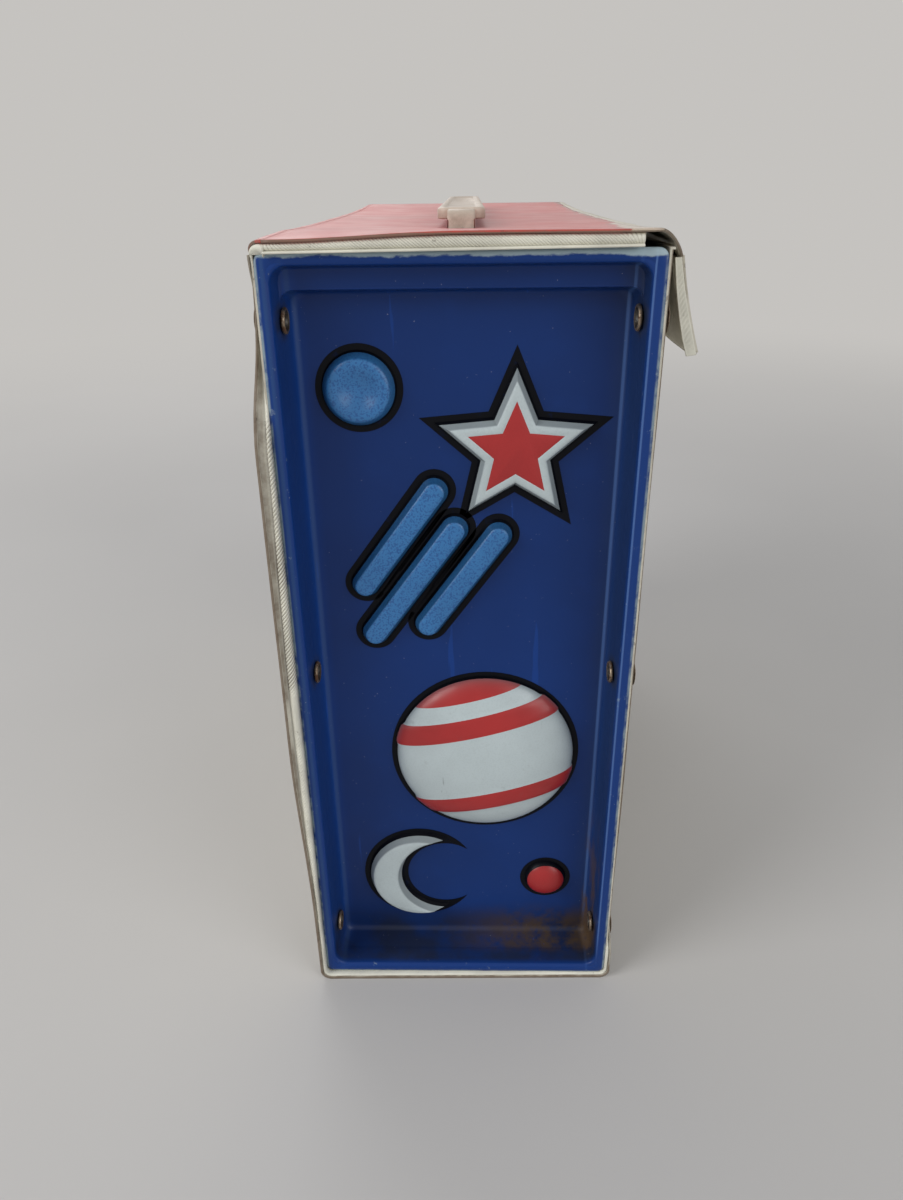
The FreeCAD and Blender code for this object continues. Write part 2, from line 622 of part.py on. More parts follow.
def make_flap():
    """Flap vinyl, board, lining and end welts, hanging off the lid's front fold at its splay."""
    low = "-Sizes.flap_length"
    skin = block("flap_skin_sheet", (FLAP_SKIN, f"-{END}", low), ("Sizes.fold_radius", END, "0"),
                 place_on_flap)
    node(cut("flap_skin_drilled", skin, cap_bore), "flap_skin")
    inside = f"{FLAP_IN} + Sizes.lining"
    board = block("flap_board_blank", (inside, f"-{RIM}", f"{low} + Sizes.lining"),
                  (FLAP_SKIN, RIM, "-Sizes.lining"), place_on_flap)
    node(cut("flap_board_drilled", board, socket_bore), "flap_board")
    lining = extruded("flap_lining_sheet", [
        (FLAP_SKIN, "0"), (FLAP_IN, "0"), (FLAP_IN, low), (FLAP_SKIN, low),
        (FLAP_SKIN, f"{low} + Sizes.lining"), (inside, f"{low} + Sizes.lining"),
        (inside, "-Sizes.lining"), (FLAP_SKIN, "-Sizes.lining"),
    ], f"2 * {RIM}")
    place_on_flap(lining, "0", "0", "0")
    node(cut("flap_lining_drilled", lining, socket_bore), "flap_lining")
    for label, sign in (("near_flap_welt", -1), ("far_flap_welt", 1)):
        welt = extruded(label, [(FLAP_IN, low), (FLAP_SKIN, low), (FLAP_SKIN, "0"), (FLAP_IN, "0")],
                        "Sizes.tray_setback", [(FLAP_IN, low, "2 * Sizes.welt_round")])
        place_on_flap(welt, "0", f"{sign} * ({RIM} + Sizes.tray_setback / 2)", "0")
        node(welt, label)


def make_handle():
    """Moulded strap: a channel-section grip whose ends bend down as legs through the lid."""
    body = new_body("handle_moulding")
    half = "Sizes.grip_width / 2"
    outline = new_sketch(body, "grip_outline", "XY_Plane", GRIP_LOW)
    draw_rounded(outline, f"-{half}", half, f"-{GRIP_HALF}", GRIP_HALF, "Sizes.grip_corner")
    pad(body, "grip", outline, "Sizes.grip_height")
    round_edges(body, "grip_edges", "Sizes.grip_round", at_height(f"{GRIP_LOW} + Sizes.grip_height"))
    hollow = new_sketch(body, "grip_hollow_outline", "XY_Plane", GRIP_LOW)
    wall = "Sizes.grip_wall"
    draw_rounded(hollow, f"{wall} - {half}", f"{half} - {wall}", f"{wall} - {GRIP_HALF}",
                 f"{GRIP_HALF} - {wall}", "Sizes.grip_corner - Sizes.grip_wall")
    pocket(body, "grip_hollow", hollow, "Sizes.grip_height - Sizes.grip_roof", reverse=True)
    under = f"({GRIP_LOW} + Sizes.neck_rise)"
    top = f"({under} + Sizes.leg_thickness)"
    foot_top = f"{FOOT_LOW} + Sizes.foot_height"
    for end, sign in (("near", -1), ("far", 1)):
        root = f"{sign} * ({GRIP_HALF} - {wall} / 2)"
        outside = f"{sign} * ({LEG_Y} + Sizes.leg_thickness / 2)"
        inside = f"{sign} * ({LEG_Y} - Sizes.leg_thickness / 2)"
        strap = new_sketch(body, f"{end}_leg_side", "YZ_Plane")
        draw_polygon(strap, [(root, top), (outside, top), (outside, FOOT_LOW), (inside, FOOT_LOW),
                             (inside, under), (root, under)])
        pad(body, f"{end}_leg", strap, "Sizes.leg_width", both_ways=True)
        foot = new_sketch(body, f"{end}_foot_side", "YZ_Plane")
        toe = f"{outside} + {sign} * Sizes.foot_lip"
        heel = f"{inside} - {sign} * Sizes.foot_lip"
        draw_polygon(foot, [(toe, foot_top), (toe, FOOT_LOW), (heel, FOOT_LOW), (heel, foot_top)])
        pad(body, f"{end}_foot", foot, "Sizes.leg_width + 2 * Sizes.foot_lip", both_ways=True)
    reach = size(f"{LEG_Y} + Sizes.leg_thickness / 2")

    def knuckle(edge):
        box = edge.BoundBox
        return at_height(top)(edge) and min(abs(box.YMin), abs(box.YMax)) > reach - TOUCH

    round_edges(body, "leg_knuckles", "Sizes.leg_bend", knuckle)
    node(body, "carry_handle")


def make_leg_fittings():
    """Slot plates under the lid and keepers on the handle's legs."""
    x_leg, y_leg = "Sizes.leg_width / 2", "Sizes.leg_thickness / 2"
    fittings = (("slot_plate", "Sizes.plate_lip", PLATE_LOW, LID_LOW, "Sizes.slot_fit"),
                ("handle_keeper", "Sizes.keeper_lip", KEEPER_LOW, KEEPER_TOP, "Sizes.keeper_fit"))
    for kind, lip, low, high, fit in fittings:
        for end, sign in (("near", -1), ("far", 1)):
            label = f"{end}_{kind}"
            middle = f"{sign} * {LEG_Y}"
            corners = []
            for name, x_grow, y_grow in (("blank", lip, lip), ("slot", fit, fit)):
                corners.append(block(f"{label}_{name}",
                                     (f"-({x_leg} + {x_grow})", f"{middle} - ({y_leg} + {y_grow})", low),
                                     (f"{x_leg} + {x_grow}", f"{middle} + {y_leg} + {y_grow}", high)))
            node(cut(f"{label}_cut", *corners), label)


def make_press_stud():
    """Cap and socket on the flap, stud and post on the front wall."""
    shank, mouth = "Sizes.cap_shank / 2", "Sizes.socket_mouth / 2"
    base = "-Sizes.skin - Sizes.socket_base"
    cap = turned("snap_cap", [
        ("0", base), (shank, base), (shank, "0"), ("Sizes.cap_diameter / 2", "0"),
        ("Sizes.cap_diameter / 2", "Sizes.cap_edge"),
        ("Sizes.cap_shoulder / 2", "Sizes.cap_shoulder_height"), ("Sizes.cap_crown / 2", "Sizes.cap_height"),
        ("0", "Sizes.cap_height")])
    hole = f"{shank} + Sizes.snap_fit / 2"
    edge = "Sizes.socket_diameter / 2"
    socket = turned("snap_socket", [
        (mouth, f"-{FLAP}"), (edge, f"-{FLAP}"), (edge, "-Sizes.skin"), (hole, "-Sizes.skin"), (hole, base),
        (mouth, base)])
    for piece in (cap, socket):
        place_on_flap(piece, "Sizes.fold_radius", "0", "-Sizes.snap_drop", upright=False)
        node(piece, piece.Name)
    neck, head = "Sizes.stud_neck / 2", "Sizes.stud_head / 2"
    post_low = f"-{WALL} - Sizes.post_height"
    under_head = f"({STUD_TIP} - Sizes.stud_head_height)"
    stud = turned("snap_stud", [
        ("0", post_low), (neck, post_low), (neck, "0"), ("Sizes.stud_flange / 2", "0"),
        ("Sizes.stud_flange / 2", "Sizes.stud_flange_height"), (neck, "Sizes.stud_flange_height"),
        (neck, under_head), (head, f"{under_head} + Sizes.stud_taper / 2"),
        (head, f"{STUD_TIP} - Sizes.stud_taper"), (f"{head} - Sizes.stud_taper", STUD_TIP),
        ("0", STUD_TIP)])
    post_hole = f"{neck} + Sizes.snap_fit / 2"
    post = turned("snap_post", [
        (post_hole, post_low), ("Sizes.post_crown / 2", post_low),
        ("Sizes.post_flange / 2", f"-{WALL} - Sizes.post_edge"), ("Sizes.post_flange / 2", f"-{WALL}"),
        (post_hole, f"-{WALL}")])
    for piece in (stud, post):
        place(piece, OUTER, 0, SNAP_Z, outward(1))
        node(piece, piece.Name)


def make_handle_slots():
    """Slots through the lid for the handle's legs."""
    slots = []
    half_width = "(Sizes.leg_width / 2 + Sizes.slot_fit)"
    half_depth = "(Sizes.leg_thickness / 2 + Sizes.slot_fit)"
    for end, sign in (("near", -1), ("far", 1)):
        low = (f"-{half_width}", f"{sign} * {LEG_Y} - {half_depth}", LID_LOW)
        high = (half_width, f"{sign} * {LEG_Y} + {half_depth}", LID_TOP)
        slots.append(block(f"handle_slot_{end}", low, high))
    return compound("handle_slots", slots)


# Bores and slots shared by the pieces that they pass through.
rivet_bores = make_rivet_bores()
stud_bore = round_bore("stud_bore", "Sizes.stud_neck / 2 + Sizes.snap_fit",
                       f"{OUTER} - {INNER} + 2 * Sizes.skin", f"{INNER} - Sizes.skin", 0, SNAP_Z, outward(1))
wall_bores = compound("wall_bores", [rivet_bores, stud_bore])
cap_bore = round_bore("cap_bore", "Sizes.cap_shank / 2 + Sizes.snap_fit", FLAP, 0, 0, 0, None)
socket_bore = round_bore("socket_bore", "Sizes.socket_diameter / 2 + Sizes.snap_fit", FLAP, 0, 0, 0, None)
place_on_flap(cap_bore, FLAP_SKIN, "0", "-Sizes.snap_drop", upright=False)
place_on_flap(socket_bore, FLAP_IN, "0", "-Sizes.snap_drop", upright=False)
handle_slots = make_handle_slots()

make_case_walls()
end_tray("near_end_tray", f"-{RIM}", UPRIGHT)
end_tray("far_end_tray", RIM, HALF_TURN.multiply(UPRIGHT))
make_rivets()
make_lid()
make_web("lid_hinge_web", "Sizes.hinge_radius", HINGE_X, HINGE_Z, 1,
         UPRIGHT.multiply(Rotation(Vector(0, 0, 1), 90)), "90")
make_web("flap_fold_web", "Sizes.fold_radius", FOLD_X, FOLD_Z, -1,
         UPRIGHT.inverted().multiply(Rotation(Vector(0, 0, 1), -90)), "90 - Sizes.flap_splay")
make_flap()
make_handle()
make_leg_fittings()
make_press_stud()
doc.recompute()

for obj in doc.Objects:
    if "Invalid" in obj.State or "Error" in obj.State:
        raise RuntimeError(f"{obj.Label} failed: {obj.State}")
for obj in NODES:
    if obj.Shape.isNull() or not obj.Shape.isValid() or not obj.Shape.Solids:
        raise RuntimeError(f"{obj.Label} has no valid solid")

os.makedirs("parts", exist_ok=True)
for obj in NODES:
    obj.Shape.exportStep(f"parts/{obj.Label}.step")
print(f"{len(NODES)} pieces written")
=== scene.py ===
import math

import bmesh
import bpy
from bpy.props import FloatProperty, FloatVectorProperty, PointerProperty
from mathutils import Matrix, Vector, noise
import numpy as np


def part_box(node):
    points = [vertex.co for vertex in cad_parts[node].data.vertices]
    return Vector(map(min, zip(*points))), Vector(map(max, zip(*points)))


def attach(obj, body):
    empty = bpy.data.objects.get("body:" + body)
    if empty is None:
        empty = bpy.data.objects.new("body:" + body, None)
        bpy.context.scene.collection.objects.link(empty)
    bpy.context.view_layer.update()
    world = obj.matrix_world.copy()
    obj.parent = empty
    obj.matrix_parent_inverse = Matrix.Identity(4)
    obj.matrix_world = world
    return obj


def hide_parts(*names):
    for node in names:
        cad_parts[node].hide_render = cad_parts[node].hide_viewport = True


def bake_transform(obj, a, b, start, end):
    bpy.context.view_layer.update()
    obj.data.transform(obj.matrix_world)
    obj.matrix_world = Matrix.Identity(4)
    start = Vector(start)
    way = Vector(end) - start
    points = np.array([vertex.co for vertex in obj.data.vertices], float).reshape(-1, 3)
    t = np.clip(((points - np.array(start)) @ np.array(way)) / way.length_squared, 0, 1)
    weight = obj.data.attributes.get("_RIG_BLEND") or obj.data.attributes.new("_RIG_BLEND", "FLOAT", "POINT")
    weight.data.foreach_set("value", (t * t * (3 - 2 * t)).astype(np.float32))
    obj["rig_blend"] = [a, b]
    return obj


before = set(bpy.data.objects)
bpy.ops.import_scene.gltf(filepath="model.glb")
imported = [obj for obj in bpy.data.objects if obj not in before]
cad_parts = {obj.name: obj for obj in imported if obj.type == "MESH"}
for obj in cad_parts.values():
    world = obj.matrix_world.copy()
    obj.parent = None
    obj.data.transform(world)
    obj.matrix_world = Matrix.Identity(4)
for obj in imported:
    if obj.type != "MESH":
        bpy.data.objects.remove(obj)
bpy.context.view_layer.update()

bl_info = {
    "name": "Lunch Box Dressing",
    "version": (1, 0, 0),
    "blender": (4, 5, 0),
    "location": "3D View > Sidebar > Lunch Box",
    "description": "Dresses the solids of a vinyl lunch box in worn vinyl, painted trays and metal trim",
    "category": "Object",
}

MM = 0.001
CASE_LOW, CASE_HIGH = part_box("case_skin")
LID_LOW, LID_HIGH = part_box("lid_skin")
TRAY_LOW, TRAY_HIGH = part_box("near_end_tray")
END = CASE_HIGH.y
RIM = -TRAY_LOW.y
SKIN = LID_HIGH.z - LID_LOW.z
INNER = TRAY_HIGH.x
OUTER = CASE_HIGH.x
WALL = OUTER - INNER
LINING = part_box("front_board")[0].x - INNER
BACK_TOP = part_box("back_board")[1].z + LINING
BOTTOM_FOLD = 4 * MM
FLAP_SPLAY = math.radians(8)
FLAP_LENGTH = 22 * MM
FLAP_THICKNESS = 1.9 * MM
HINGE_RADIUS = LID_HIGH.z - BACK_TOP
HINGE = Vector((LID_LOW.x, 0, BACK_TOP))
FOLD_RADIUS = (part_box("flap_fold_web")[1].x - LID_HIGH.x) / math.cos(FLAP_SPLAY)
FOLD = Vector((LID_HIGH.x, 0, LID_HIGH.z - FOLD_RADIUS))
FLAP_FRAME = Matrix.Translation(FOLD) @ Matrix.Rotation(-FLAP_SPLAY, 4, "Y")
PANEL_DEPTH = 15 * MM
PANEL_FRAME = (Matrix.Translation((0, PANEL_DEPTH - RIM, TRAY_LOW.z))
               @ Matrix.Rotation(math.pi / 2, 4, "X"))
HALF_TURN = Matrix.Rotation(math.pi, 4, "Z")
TRAY_RIM = 3.2 * MM
TRAY_DRAFT = math.radians(7)
TRAY_HEIGHT = TRAY_HIGH.z - TRAY_LOW.z
SNAP_DROP = 12 * MM
SNAP_HOLE = 5.1 * MM
RIVET_INSET = 7.5 * MM
RIVET_MARGIN = 17 * MM
RIVET_HEIGHTS = (TRAY_LOW.z + RIVET_MARGIN, TRAY_LOW.z + TRAY_HEIGHT / 2, TRAY_HIGH.z - RIVET_MARGIN)
WELD = 0.002 * MM

# Wear of the soft pieces: how far they stray, and the stretch before the near end over which they do

SETBACK = 5.5 * MM
SETBACK_EASE = 14 * MM
PINCH = 0.7 * MM
BOW = 2.2 * MM
BOW_EASE = 10 * MM
FLAP_SETBACK = 11 * MM
FLAP_HUG = 0.45 * MM
FLAP_CURL = 2.2 * MM
FLAP_HANG = 2.6 * MM
FLAP_FRAY = 0.35 * MM
HANG_EASE = 60 * MM
BOARD_SETBACK = 9 * MM
RIPPLE = 0.12 * MM
LID_SAG = 1.9 * MM
CORNER_DIP = 1.5 * MM
DIP_EASE = 90 * MM


def length(label, note, value):
    """A length property, given in millimetres."""
    return FloatProperty(name=label, description=note, default=value * MM, unit="LENGTH", precision=5)


def tint(label, note, value):
    """A colour property."""
    return FloatVectorProperty(name=label, description=note, default=value, subtype="COLOR", size=3,
                               min=0, max=1)


class LunchBoxColours(bpy.types.PropertyGroup):
    """Colours of the finishes"""

    tray: tint("Tray", "Formed sheet of the end trays", (0.004, 0.030, 0.155))
    tray_wear: tint("Tray wear", "Bruised rim of the trays", (0.30, 0.38, 0.40))
    red_paint: tint("Red paint", "Red of the relief", (0.40, 0.022, 0.022))
    white_paint: tint("White paint", "White of the relief", (0.50, 0.57, 0.58))
    sky_paint: tint("Light blue paint", "Sprayed light blue of the relief", (0.035, 0.175, 0.42))
    ink: tint("Ink", "Black outlines", (0.003, 0.0035, 0.006))
    lid: tint("Lid vinyl", "Red vinyl of the lid", (0.52, 0.055, 0.042))
    cream: tint("Case vinyl", "Cream vinyl of the walls and the flap", (0.62, 0.58, 0.48))
    lining: tint("Lining", "Vinyl lining of the inside", (0.58, 0.55, 0.46))
    welt: tint("Welt", "Ribbed heat-sealed edges", (0.78, 0.76, 0.65))
    grime: tint("Grime", "Ingrained dirt", (0.075, 0.055, 0.038))
    handle: tint("Handle", "Moulded strap handle", (0.60, 0.50, 0.41))
    nickel: tint("Nickel", "Plating of the press stud", (0.50, 0.48, 0.44))
    keeper: tint("Keeper", "Plating of the keepers and slot plates", (0.36, 0.35, 0.33))
    rust: tint("Rust", "Rust on rivets and stains", (0.085, 0.038, 0.016))
    card: tint("Card", "Stiffening boards", (0.25, 0.19, 0.13))


class LunchBoxSizes(bpy.types.PropertyGroup):
    """Sizes of the fine forms"""

    rib_pitch: length("Rib pitch", "Distance between the ribs of a welt", 1.25)
    rib_height: length("Rib height", "Height of the ribs of a welt", 0.42)
    sag: length("Sag", "How far the vinyl strays from flat", 0.32)
    ink_width: length("Ink width", "Width of the outlines round the relief", 1.7)
    relief_height: length("Relief height", "Height of the flat motifs", 3.6)
    relief_draft: length("Relief draft", "Width of the sloping sides of the motifs", 1.914)
    crown: length("Crown", "Rounding of the motifs", 1.1)


class LunchBoxStage(bpy.types.PropertyGroup):
    """Camera and light"""

    lens: FloatProperty(name="Lens", description="Focal length on a 36 mm tall frame", default=25.77,
                        unit="CAMERA")
    key: FloatProperty(name="Key", description="Power of the large key light", default=13.0, unit="POWER")
    fill: FloatProperty(name="Fill", description="Power of the fill light", default=8.0, unit="POWER")
    rear: FloatProperty(name="Rear", description="Power of the light behind the case", default=7.0,
                        unit="POWER")
    world: FloatProperty(name="World", description="Strength of the even light", default=0.42)
    floor: tint("Floor", "Pale floor", (0.56, 0.545, 0.53))
    backdrop: tint("Backdrop", "Pale surroundings that the camera sees", (0.56, 0.545, 0.525))


def hue(key):
    """A colour of the finishes by its name."""
    return tuple(getattr(bpy.context.scene.lunch_box_colours, key))


def sizes():
    """The sizes of the fine forms."""
    return bpy.context.scene.lunch_box_sizes


# Finishes

class Field:
    """A value in a finish's node tree that can be reckoned with like a number."""

    def __init__(self, paint, socket):
        self.paint = paint
        self.socket = socket

    def __add__(self, other):
        return self.paint.math("ADD", self, other)

    def __sub__(self, other):
        return self.paint.math("SUBTRACT", self, other)

    def __mul__(self, other):
        return self.paint.math("MULTIPLY", self, other)

    def __abs__(self):
        return self.paint.math("ABSOLUTE", self)

    def ramp(self, low, high, first, last):
        """A smooth passage from one value at low to another at high."""
        inputs = {"Value": self, "From Min": low, "From Max": high, "To Min": first, "To Max": last}
        node = self.paint.add("ShaderNodeMapRange", inputs, interpolation_type="SMOOTHSTEP")
        return Field(self.paint, node.outputs["Result"])

    def rise(self, low, high):
        """0 below low, 1 above high and smooth between."""
        return self.ramp(low, high, 0.0, 1.0)

    def fall(self, low, high):
        """1 below low, 0 above high and smooth between."""
        return self.ramp(low, high, 1.0, 0.0)

    def band(self, line, *offsets):
        """A stripe along a line; its offsets in millimetres are where it starts, is full, ebbs and ends."""
        start, full, ebb, end = (line + offset * MM for offset in offsets)
        return self.rise(start, full) * self.fall(ebb, end)


class Paint:
    """A procedural finish whose nodes are wired by short calls and whose colours are laid in coats."""

    def __init__(self, name, attribute=None, **sockets):
        self.material = bpy.data.materials.new(name)
        self.material.use_nodes = True
        self.tree = self.material.node_tree
        self.shader = self.tree.nodes["Principled BSDF"]
        self.surface = None
        self.normal = None
        for label, value in sockets.items():
            self.shader.inputs[label.replace("_", " ")].default_value = value
        where = self.tree.nodes.new("ShaderNodeTexCoord")
        self.place = where.outputs["Object"]
        self.facing = where.outputs["Normal"]
        if attribute:
            self.place = self.add("ShaderNodeAttribute", attribute_name=attribute).outputs["Vector"]

    def add(self, kind, inputs=None, **settings):
        """A node with its settings, its inputs fed by values or links."""
        node = self.tree.nodes.new(kind)
        for label, value in settings.items():
            setattr(node, label, value)
        for label, value in (inputs or {}).items():
            self.feed(node.inputs[label], value)
        return node

    def feed(self, socket, value):
        """Link a field or an output to a socket, or set the socket's own value."""
        if isinstance(value, Field):
            value = value.socket
        if isinstance(value, bpy.types.NodeSocket):
            self.tree.links.new(value, socket)
        elif socket.type == "RGBA":
            socket.default_value = (*value, 1.0)[:4]
        else:
            socket.default_value = value

    def math(self, operation, *values):
        """A Math node on fields or numbers."""
        node = self.add("ShaderNodeMath", dict(enumerate(values)), operation=operation)
        return Field(self, node.outputs[0])

    def axes(self, socket=None):
        """The three parts of a vector, or else of the place on the piece."""
        node = self.add("ShaderNodeSeparateXYZ", {0: socket or self.place})
        return [Field(self, output) for output in node.outputs]

    def reading(self, attribute):
        """A number stored on the vertices of the piece."""
        node = self.add("ShaderNodeAttribute", attribute_name=attribute)
        return Field(self, node.outputs["Fac"])

    def clouds(self, grain, detail=3.0, roughness=0.5, stretch=None):
        """Noise whose features are about grain millimetres wide."""
        place = self.place
        if stretch:
            place = self.add("ShaderNodeMapping", {"Vector": place, "Scale": stretch}).outputs[0]
        inputs = {"Vector": place, "Scale": 1 / (grain * MM), "Detail": detail, "Roughness": roughness}
        return Field(self, self.add("ShaderNodeTexNoise", inputs).outputs[0])

    def cells(self, grain):
        """Soft distance to the middle of cells that are grain millimetres wide."""
        inputs = {"Vector": self.place, "Scale": 1 / (grain * MM)}
        node = self.add("ShaderNodeTexVoronoi", inputs, feature="SMOOTH_F1")
        return Field(self, node.outputs["Distance"])

    def mix(self, first, second, share):
        """One colour over another by a share from 0 to 1."""
        node = self.add("ShaderNodeMix", {0: share, 6: first, 7: second}, data_type="RGBA")
        return node.outputs[2]

    def ground(self, colour, dark, light, tone):
        """Start with a colour that drifts between a darker and a lighter tone."""
        self.surface = self.mix(shade(colour, dark), shade(colour, light), tone)

    def coat(self, colour, share):
        """Lay a colour over the coats before it, by a share from 0 to 1."""
        self.surface = self.mix(self.surface, colour, share)

    def emboss(self, height, depth, strength):
        """Raise the surface by a height field, depth millimetres at 1."""
        inputs = {"Height": height, "Distance": depth * MM, "Strength": strength}
        if self.normal:
            inputs["Normal"] = self.normal
        self.normal = self.add("ShaderNodeBump", inputs).outputs[0]

    def done(self, roughness):
        """Feed the shader and hand over the material."""
        self.feed(self.shader.inputs["Base Color"], self.surface)
        self.feed(self.shader.inputs["Roughness"], roughness)
        if self.normal:
            self.feed(self.shader.inputs["Normal"], self.normal)
        return self.material


def shade(value, factor):
    """A colour made lighter or darker."""
    return tuple(min(1.0, channel * factor) for channel in value)


FINISHES = {}


def finish(name):
    """The named finish, made once."""
    if name not in FINISHES:
        make, *values = RECIPES[name]
        FINISHES[name] = make(name, *values)
    return FINISHES[name]


def vinyl(name, key, soil, attribute=None, bruise=None, bloom=0.0, worn_front=False):
    """Grained sheet vinyl with handling grime, scuffs, worn ends and, at a glance, a pale bloom."""
    paint = Paint(name, attribute, Specular_IOR_Level=0.42, Sheen_Weight=bloom, Sheen_Roughness=0.45)
    colour, grime = hue(key), hue("grime")
    x, y, z = paint.axes()
    along = abs(y)
    paint.ground(colour, 0.90, 1.07, paint.clouds(60).rise(0.3, 0.7))
    mottle = paint.clouds(9, 5, 0.65).rise(0.56, 0.78)
    paint.coat(shade(grime, 3.0), mottle * (0.45 * soil))
    scuff = paint.clouds(5, 4, 0.6, (1.0, 0.16, 1.0)).rise(0.64, 0.74)
    paint.coat(bruise or shade(colour, 1.25), scuff * (0.30 * soil))
    dirty_end = along.rise(END - 9 * MM, END + 1 * MM) * paint.clouds(6, 5, 0.7).rise(0.38, 0.66)
    paint.coat(shade(grime, 2.2), dirty_end * (0.85 * soil))
    low_edge = z.fall(0.0, 14 * MM) * paint.clouds(8, 5, 0.7).rise(0.42, 0.68)
    paint.coat(shade(grime, 2.4), low_edge * (0.8 * soil))
    specks = paint.clouds(2.2, 2).rise(0.735, 0.765)
    paint.coat(grime, specks * (0.7 * soil))
    spots = along.rise(END - 22 * MM, END) * paint.clouds(3.4, 3, 0.55).rise(0.66, 0.69)
    paint.coat(shade(grime, 0.8), spots * (0.9 * soil))
    if worn_front:
        backing = (0.58, 0.50, 0.39)
        fray = paint.clouds(9, 5, 0.7) * (12 * MM) - 6 * MM
        front = x + fray + (y * -1.0).rise(END - 90 * MM, END) * (7 * MM)
        paint.coat(backing, front.rise(FOLD.x - 1.3 * MM, FOLD.x) * 0.92)
        crack = front.band(FOLD.x, -4, -2.5, -1.5, 1) * paint.clouds(4, 5, 0.7).rise(0.48, 0.62)
        paint.coat(shade(grime, 2.0), crack * 0.7)
    brink = along.rise(END - 0.5 * MM, END - 0.1 * MM)
    if bruise:
        brink = brink * z.fall(LID_HIGH.z - 0.45 * MM, LID_HIGH.z - 0.25 * MM)
    paint.coat(shade(grime, 2.3), brink * 0.85)
    paint.emboss(paint.cells(0.85), 0.10, 0.55)
    paint.emboss(paint.clouds(0.35, 2), 0.03, 0.4)
    paint.emboss(paint.clouds(22, 2), 0.5, 0.12 if worn_front else 0.35)
    return paint.done(paint.clouds(14, 4).rise(0.25, 0.8) * 0.20 + 0.36)


